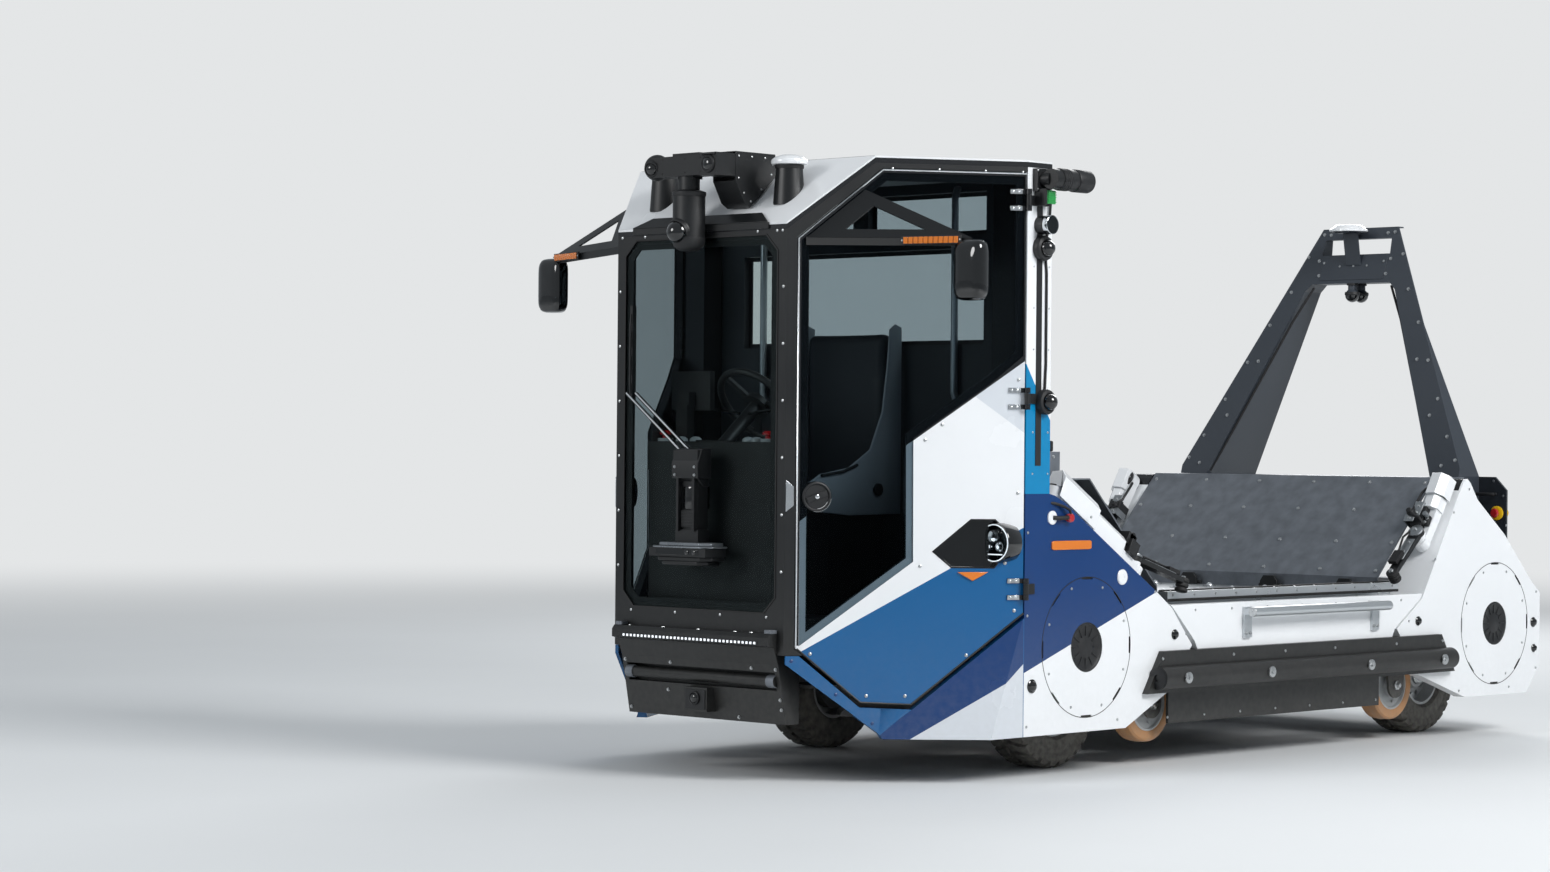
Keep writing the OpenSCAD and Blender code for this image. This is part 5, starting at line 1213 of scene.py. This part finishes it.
rise = 1 / math.cos(lean)
mast_place = facing(on_mast(0, mast_top), mast_out, (-mast_out.z, 0, mast_out.x))
spots = [(0.196, 2.255), (0.158, 2.252), (0.198, 2.13), (0.165, 2.118), (0.185, 2.06), (0.262, 2.15),
         (0.325, 1.985), (0.412, 1.83), (0.5, 1.655), (0.588, 1.48), (0.672, 1.31), (0.735, 1.205),
         (0.668, 1.18), (0.44, 1.66), (0.56, 1.405)]
bolts([on_mast(y * side, z) for side in (-1, 1) for y, z in spots], mast_out, 0.0065)
bolts([on_mast(y, 2.1) for y in (-0.075, 0, 0.075)], mast_out, 0.0055)
settle("mast_bolts", zinc)
# Cover plate over the cross bar, lapped on both legs
plate = [(-0.176, 2.036), (0.176, 2.036), (0.182, 2.146), (-0.182, 2.146)]
slab([(y, (z - mast_top) * rise) for y, z in plate], 0.0002, 0.0024, mast_place)
settle("mast_cover_plate", slate, edge=0.0008)
dome_x = (-2.157, -2.087)
for x in dome_x:
    turned([(0.026, 2.011), (0.026, 2.0195), (0.021, 2.0195), (0.021, 2.011)], at((x, 0, 0)), 32, ring=True)
for y in (-1, 1):
    tube([on_mast(0.214 * y, 2.01, -0.02), on_mast(0.3 * y, 1.85, -0.02), on_mast(0.56 * y, 1.26, -0.02),
          on_mast(0.612 * y, 1.15, -0.02)], 0.006, 8)
settle("mast_cables", nylon)
for x in dome_x:
    turned(dome(0.0332, (2, 18, 34, 50, 66, 80, 90)), facing((x, 0, 1.965), (0, 0, -1), FORE), 40)
settle("mast_camera_glass", gloss_black)
for x in dome_x:
    turned([(0.0334, 1.965), (0.0352, 1.967), (0.0352, 1.976), (0.0325, 1.98), (0.0325, 1.965)],
           at((x, 0, 0)), 40, ring=True)
settle("mast_camera_collars", black_abs)
turned([(0.085, 2.2562), (0.089, 2.259), (0.0885, 2.265), (0.064, 2.2855), (0.058, 2.288), (0, 2.289)],
       at((-2.0522, 0, 0)), 56)
settle("mast_aerial_disc", white_gel)

# Tail
# A white tail panel with lamp clusters and a plain blank plate. At the left a slate control
# plate stands above it with a grab handle and a stop button that reaches through.
def tail_tones(tree, place):
    """White panel, slate where it stands above the ledge as the control plate."""
    plate = calc(tree, "GREATER_THAN", apart(tree, place)["Z"], 0.6625)
    return pick(tree, plate, srgb(white), srgb("#25292e"))


tail_gel = coating("tail_panel_gel_coat", tail_tones, 0.26, 30, 0.05, clear=0.4, uneven=0.04, dusty=0.2)
# Safety yellow plastic: an even warm yellow ring
safety_yellow = coating("safety_yellow_plastic", "#f2c318", 0.4, 2, 0.06)
# Blank plate: plain white sheet with an even retroreflective grain
plate_white = coating("blank_plate_sheet", "#e6e8ea", 0.3, 1.2, 0.04, uneven=0.03)
dress(tail_gel, "tail_panel")
tail_face = -2.205
for face, x, out in (("front", -2.193, 1), ("rear", -2.231, -1)):
    place = facing((x, 0.72, 0.967), (out, 0, 0))
    turned([(0.032, -0.0005), (0.032, 0.005), (0.029, 0.0065), (0.018, 0.0065)], place, 36)
    settle(f"stop_ring_{face}", safety_yellow)
    turned([(0.013, 0.005), (0.013, 0.014), (0.02, 0.017), (0.0215, 0.024), (0.016, 0.029), (0, 0.03)], place,
           36)
    settle(f"stop_button_{face}", red_lens)
tube([(-2.195, 0.6, 1.052), (-2.172, 0.602, 1.052), (-2.166, 0.612, 1.052), (-2.166, 0.7, 1.052),
      (-2.172, 0.71, 1.052), (-2.195, 0.712, 1.052)], 0.008, 12)
block((-2.1935, 0.58, 0.79), (-2.184, 0.64, 0.85))
tube([(-2.188, 0.61, 0.795), (-2.186, 0.61, 0.74), (-2.186, 0.606, 0.664)], 0.006, 8)
settle("control_handle", black_abs, edge=0.001)
for x, out in ((-2.193, 1), (tail_face, -1)):
    bolts([(x, y, z) for y, z in ((0.575, 0.7), (0.75, 0.7), (0.575, 1.112), (0.7, 1.112), (0.75, 1.045))],
          (out, 0, 0), 0.0045)
settle("control_plate_bolts", zinc)
bolts([(tail_face, y, z) for y in (0.24, 0.74) for z in (0.24, 0.632)], AFT, 0.005)
pair("tail_bolts_*", zinc)
# Lamp cluster: three lenses in a black tray, round reflector below
tail = facing((tail_face, 0.56, 0.52), AFT)
slab([(-0.15, -0.048), (0.15, -0.048), (0.158, -0.04), (0.158, 0.04), (0.15, 0.048), (-0.15, 0.048),
      (-0.158, 0.04), (-0.158, -0.04)], -0.001, 0.01, tail)
pair("tail_lamp_tray_*", black_abs, edge=0.003)
for kind, low, high, lens in (("stop", -0.05, 0.05, red_lens), ("turn", 0.054, 0.146, amber_lens),
                              ("reverse", -0.146, -0.054, led_white)):
    block((low, -0.038, 0.009), (high, 0.038, 0.017), tail)
    for k in range(6):
        block((low + 0.004, -0.034 + 0.012 * k, 0.0165), (high - 0.004, -0.028 + 0.012 * k, 0.0185), tail)
    pair(f"tail_lamp_{kind}_*", lens, edge=0.002)
turned([(0.03, -0.001), (0.03, 0.004), (0.027, 0.0065), (0, 0.007)], facing((tail_face, 0.7, 0.38), AFT), 32)
pair("tail_reflector_*", red_lens)
block((-2.2085, -0.17, 0.52), (-2.2045, 0.17, 0.63))
settle("blank_plate", plate_white, edge=0.0008)
rivets([(-2.2085, y, 0.575) for y in (-0.15, 0.15)], AFT, 0.005)
bolts([(-2.223, y, z) for y in (-0.072, 0.072) for z in (0.318, 0.442)], AFT, 0.009)
settle("hitch_and_plate_bolts", zinc)

# Tow hitch
# A forged jaw on a bolted plate. Its mouth is worn bright where drawbar eyes have rubbed.
def jaw_tones(tree, place):
    """Black enamel, worn to grey steel toward the jaw's mouth."""
    mouth = ramp(tree, apart(tree, place)["X"], (-2.24, -2.3), (0.0, 0.7))
    worn = calc(tree, "MULTIPLY", mouth, noise(tree, place, 16, 6.0))
    return pick(tree, worn, srgb("#1a1b1d"), srgb("#8d8f92"))


jaw_enamel = coating("worn_jaw_enamel", jaw_tones, 0.45, 4, 0.2, metallic=0.3)
dress(jaw_enamel, "tow_hitch")

# Loading arms
# Two links at each end of the deck, on both sides, which swing out to pull a container across.
# A folded white cover guards each upper link; a black drive, its springs and brackets ride on
# it, and a stack of rollers ends each black forearm.
shoulders = {"front": (1.14, 1.0307, math.atan2(343, 554), -1, 0.56, 0.33),
             "rear": (-1.545, 1.0684, math.atan2(493, 310), 1, 0.28, 0.25)}
# Bright zinc flake: dull silver brackets
bracket_steel = coating("zinc_flake_brackets", "#a7abae", 0.38, 2, 0.06, metallic=0.9, drift_mm=30,
                        uneven=0.25)
link_top = 0.0602
for end, (x, z, slope, ahead_sign, reach, fore) in shoulders.items():
    along = Vector((ahead_sign * math.cos(slope), 0, -math.sin(slope)))
    off = Vector((ahead_sign * math.sin(slope), 0, math.cos(slope)))
    arm = Matrix((along, OUT, off)).transposed().to_4x4()
    arm.translation = (x, 0.859, z)
    elbow = arm @ at((reach, 0, 0.014)) @ Matrix.Rotation(math.radians(-15), 4, "Y")
    across = arm @ Matrix(((0, 0, 1, 0), (1, 0, 0, 0), (0, 1, 0, 0), (0, 0, 0, 1)))
    upper, lower = f"upper_arm_{end}_*", f"forearm_{end}_*"
    peak = 0.132 if end == "front" else 0.098
    wide = [(-0.032, 0.0605), (-0.024, peak - 0.006), (0.026, peak), (0.054, peak - 0.03), (0.06, 0.018),
            (0.0555, 0.018), (0.0535, 0.0605)]
    narrow = [(0.8 * y, h if h < 0.061 else 0.0605 + (h - 0.0605) * 0.7) for y, h in wide]
    span = 0.42 if end == "front" else 0.125
    for low, high, outline in ((-0.04, 0.5 * span, wide), (0.5 * span + 0.003, span, narrow)):
        slab(outline, low, high, across)
    pair(f"arm_cover_{end}_*", white_gel, upper, edge=0.003)
    low, high = (0.375, 0.5) if end == "front" else (0.13, 0.225)
    block((low, -0.046, link_top), (high, 0.01, 0.092), arm)
    if end == "front":
        block((0.3, -0.064, link_top), (0.47, -0.034, 0.122), arm)
        block((0.425, -0.034, 0.092), (0.48, 0.036, 0.142), arm)
        block((0.44, 0.02, link_top), (0.495, 0.052, 0.118), arm)
        block((0.49, -0.072, 0.02), (0.585, -0.042, 0.098), arm)
        tube([(0.33, -0.048, 0.136), (0.5, -0.036, 0.124)], 0.017, 16, arm)
        tube([(0.455, 0.036, 0.13), (0.455, -0.06, 0.13)], 0.02, 16, arm)
    block((low + 0.018, -0.066, 0.03), (high - 0.02, -0.04, 0.104), arm)
    block((low + 0.04, -0.014, link_top), (high - 0.012, 0.034, 0.08), arm)
    turned([(0.017, 0), (0.017, 0.06), (0.012, 0.064), (0.012, 0.075), (0, 0.076)],
           arm @ at((low + 0.045, -0.046, 0.06)), 20)
    turned([(0.045, link_top), (0.045, 0.068), (0.03, 0.074), (0, 0.075)], arm @ at((-0.002, 0, 0)), 32)
    tube([(0.02, -0.05, 0.06), (low - 0.08, -0.056, 0.07), (low, -0.056, 0.088), (low + 0.06, -0.03, 0.118),
          (high - 0.03, 0.0, 0.106), (high - 0.01, 0.014, 0.078)], 0.0065, 8, arm)
    pair(f"arm_drive_{end}_*", black_abs, upper, edge=0.0015)
    block((low - 0.02, -0.052, 0.093), (low + 0.05, -0.01, 0.096), arm)
    block((low - 0.02, -0.01, 0.064), (low + 0.02, -0.007, 0.096), arm)
    block((high - 0.038, -0.07, 0.04), (high - 0.006, -0.067, 0.112), arm)
    block((high - 0.038, -0.07, 0.109), (high - 0.006, -0.02, 0.112), arm)
    for k in range(7):
        turned([(0.0095, 0.004 * k), (0.0115, 0.004 * k + 0.001), (0.0095, 0.004 * k + 0.002)],
               arm @ at((high - 0.052, 0.02, 0.08)), 16)
    pair(f"arm_brackets_{end}_*", bracket_steel, upper, edge=0.0008)
    bolts(placed(arm, [(low + 0.002, -0.03, 0.096), (low + 0.035, -0.03, 0.096),
                       (high - 0.022, -0.045, 0.112), (high - 0.022, 0.018, 0.08),
                       (low + 0.055, 0.024, 0.08)]), off, 0.0055, OUT)
    bolts(placed(arm, [(-0.002 + 0.03 * math.cos(t), 0.03 * math.sin(t), 0.073) for t in (0.4, 2.5, 4.6)]),
          off, 0.0045, OUT)
    pair(f"arm_bolts_{end}_*", zinc, upper)
    # Forearm: clamp plates over the black link, rollers in two bright cheeks at its end
    block((0.05, -0.021, 0.0822), (fore - 0.075, 0.021, 0.0855), elbow)
    block((0.05, -0.0245, 0.066), (fore - 0.075, -0.0215, 0.0855), elbow)
    turned([(0.034, 0.0822), (0.034, 0.089), (0.022, 0.094), (0, 0.094)], elbow, 32)
    pair(f"forearm_plates_{end}_*", bracket_steel, lower, edge=0.001)
    tip = elbow @ at((fore, 0, 0))
    for k in range(3):
        base = 0.0285 + 0.019 * k
        turned([(0.0195, base), (0.0255, base + 0.003), (0.0265, base + 0.009), (0.0255, base + 0.015),
                (0.0195, base + 0.018)], tip, 36)
    block((fore - 0.11, -0.03, 0.0862), (fore - 0.04, 0.012, 0.104), elbow)
    tube([(0.01, -0.02, 0.092), (0.06, -0.026, 0.104), (0.13, -0.012, 0.1), (fore - 0.075, -0.01, 0.1)],
         0.005, 8, elbow)
    pair(f"forearm_rollers_{end}_*", black_rubber, lower, edge=0.001)
    bolts(placed(elbow, [(u, 0, 0.0855) for u in (0.07, 0.5 * fore, fore - 0.095)]), elbow.col[2].xyz, 0.005,
          OUT)
    bolts(placed(elbow, [(0, 0, 0.094), (fore, 0, 0.086)]), elbow.col[2].xyz, 0.0085, OUT)
    pair(f"forearm_bolts_{end}_*", zinc, lower)
    dress(white_gel, f"upper_arm_{end}_left", f"upper_arm_{end}_right")
    dress(powder_black, f"forearm_{end}_left", f"forearm_{end}_right")
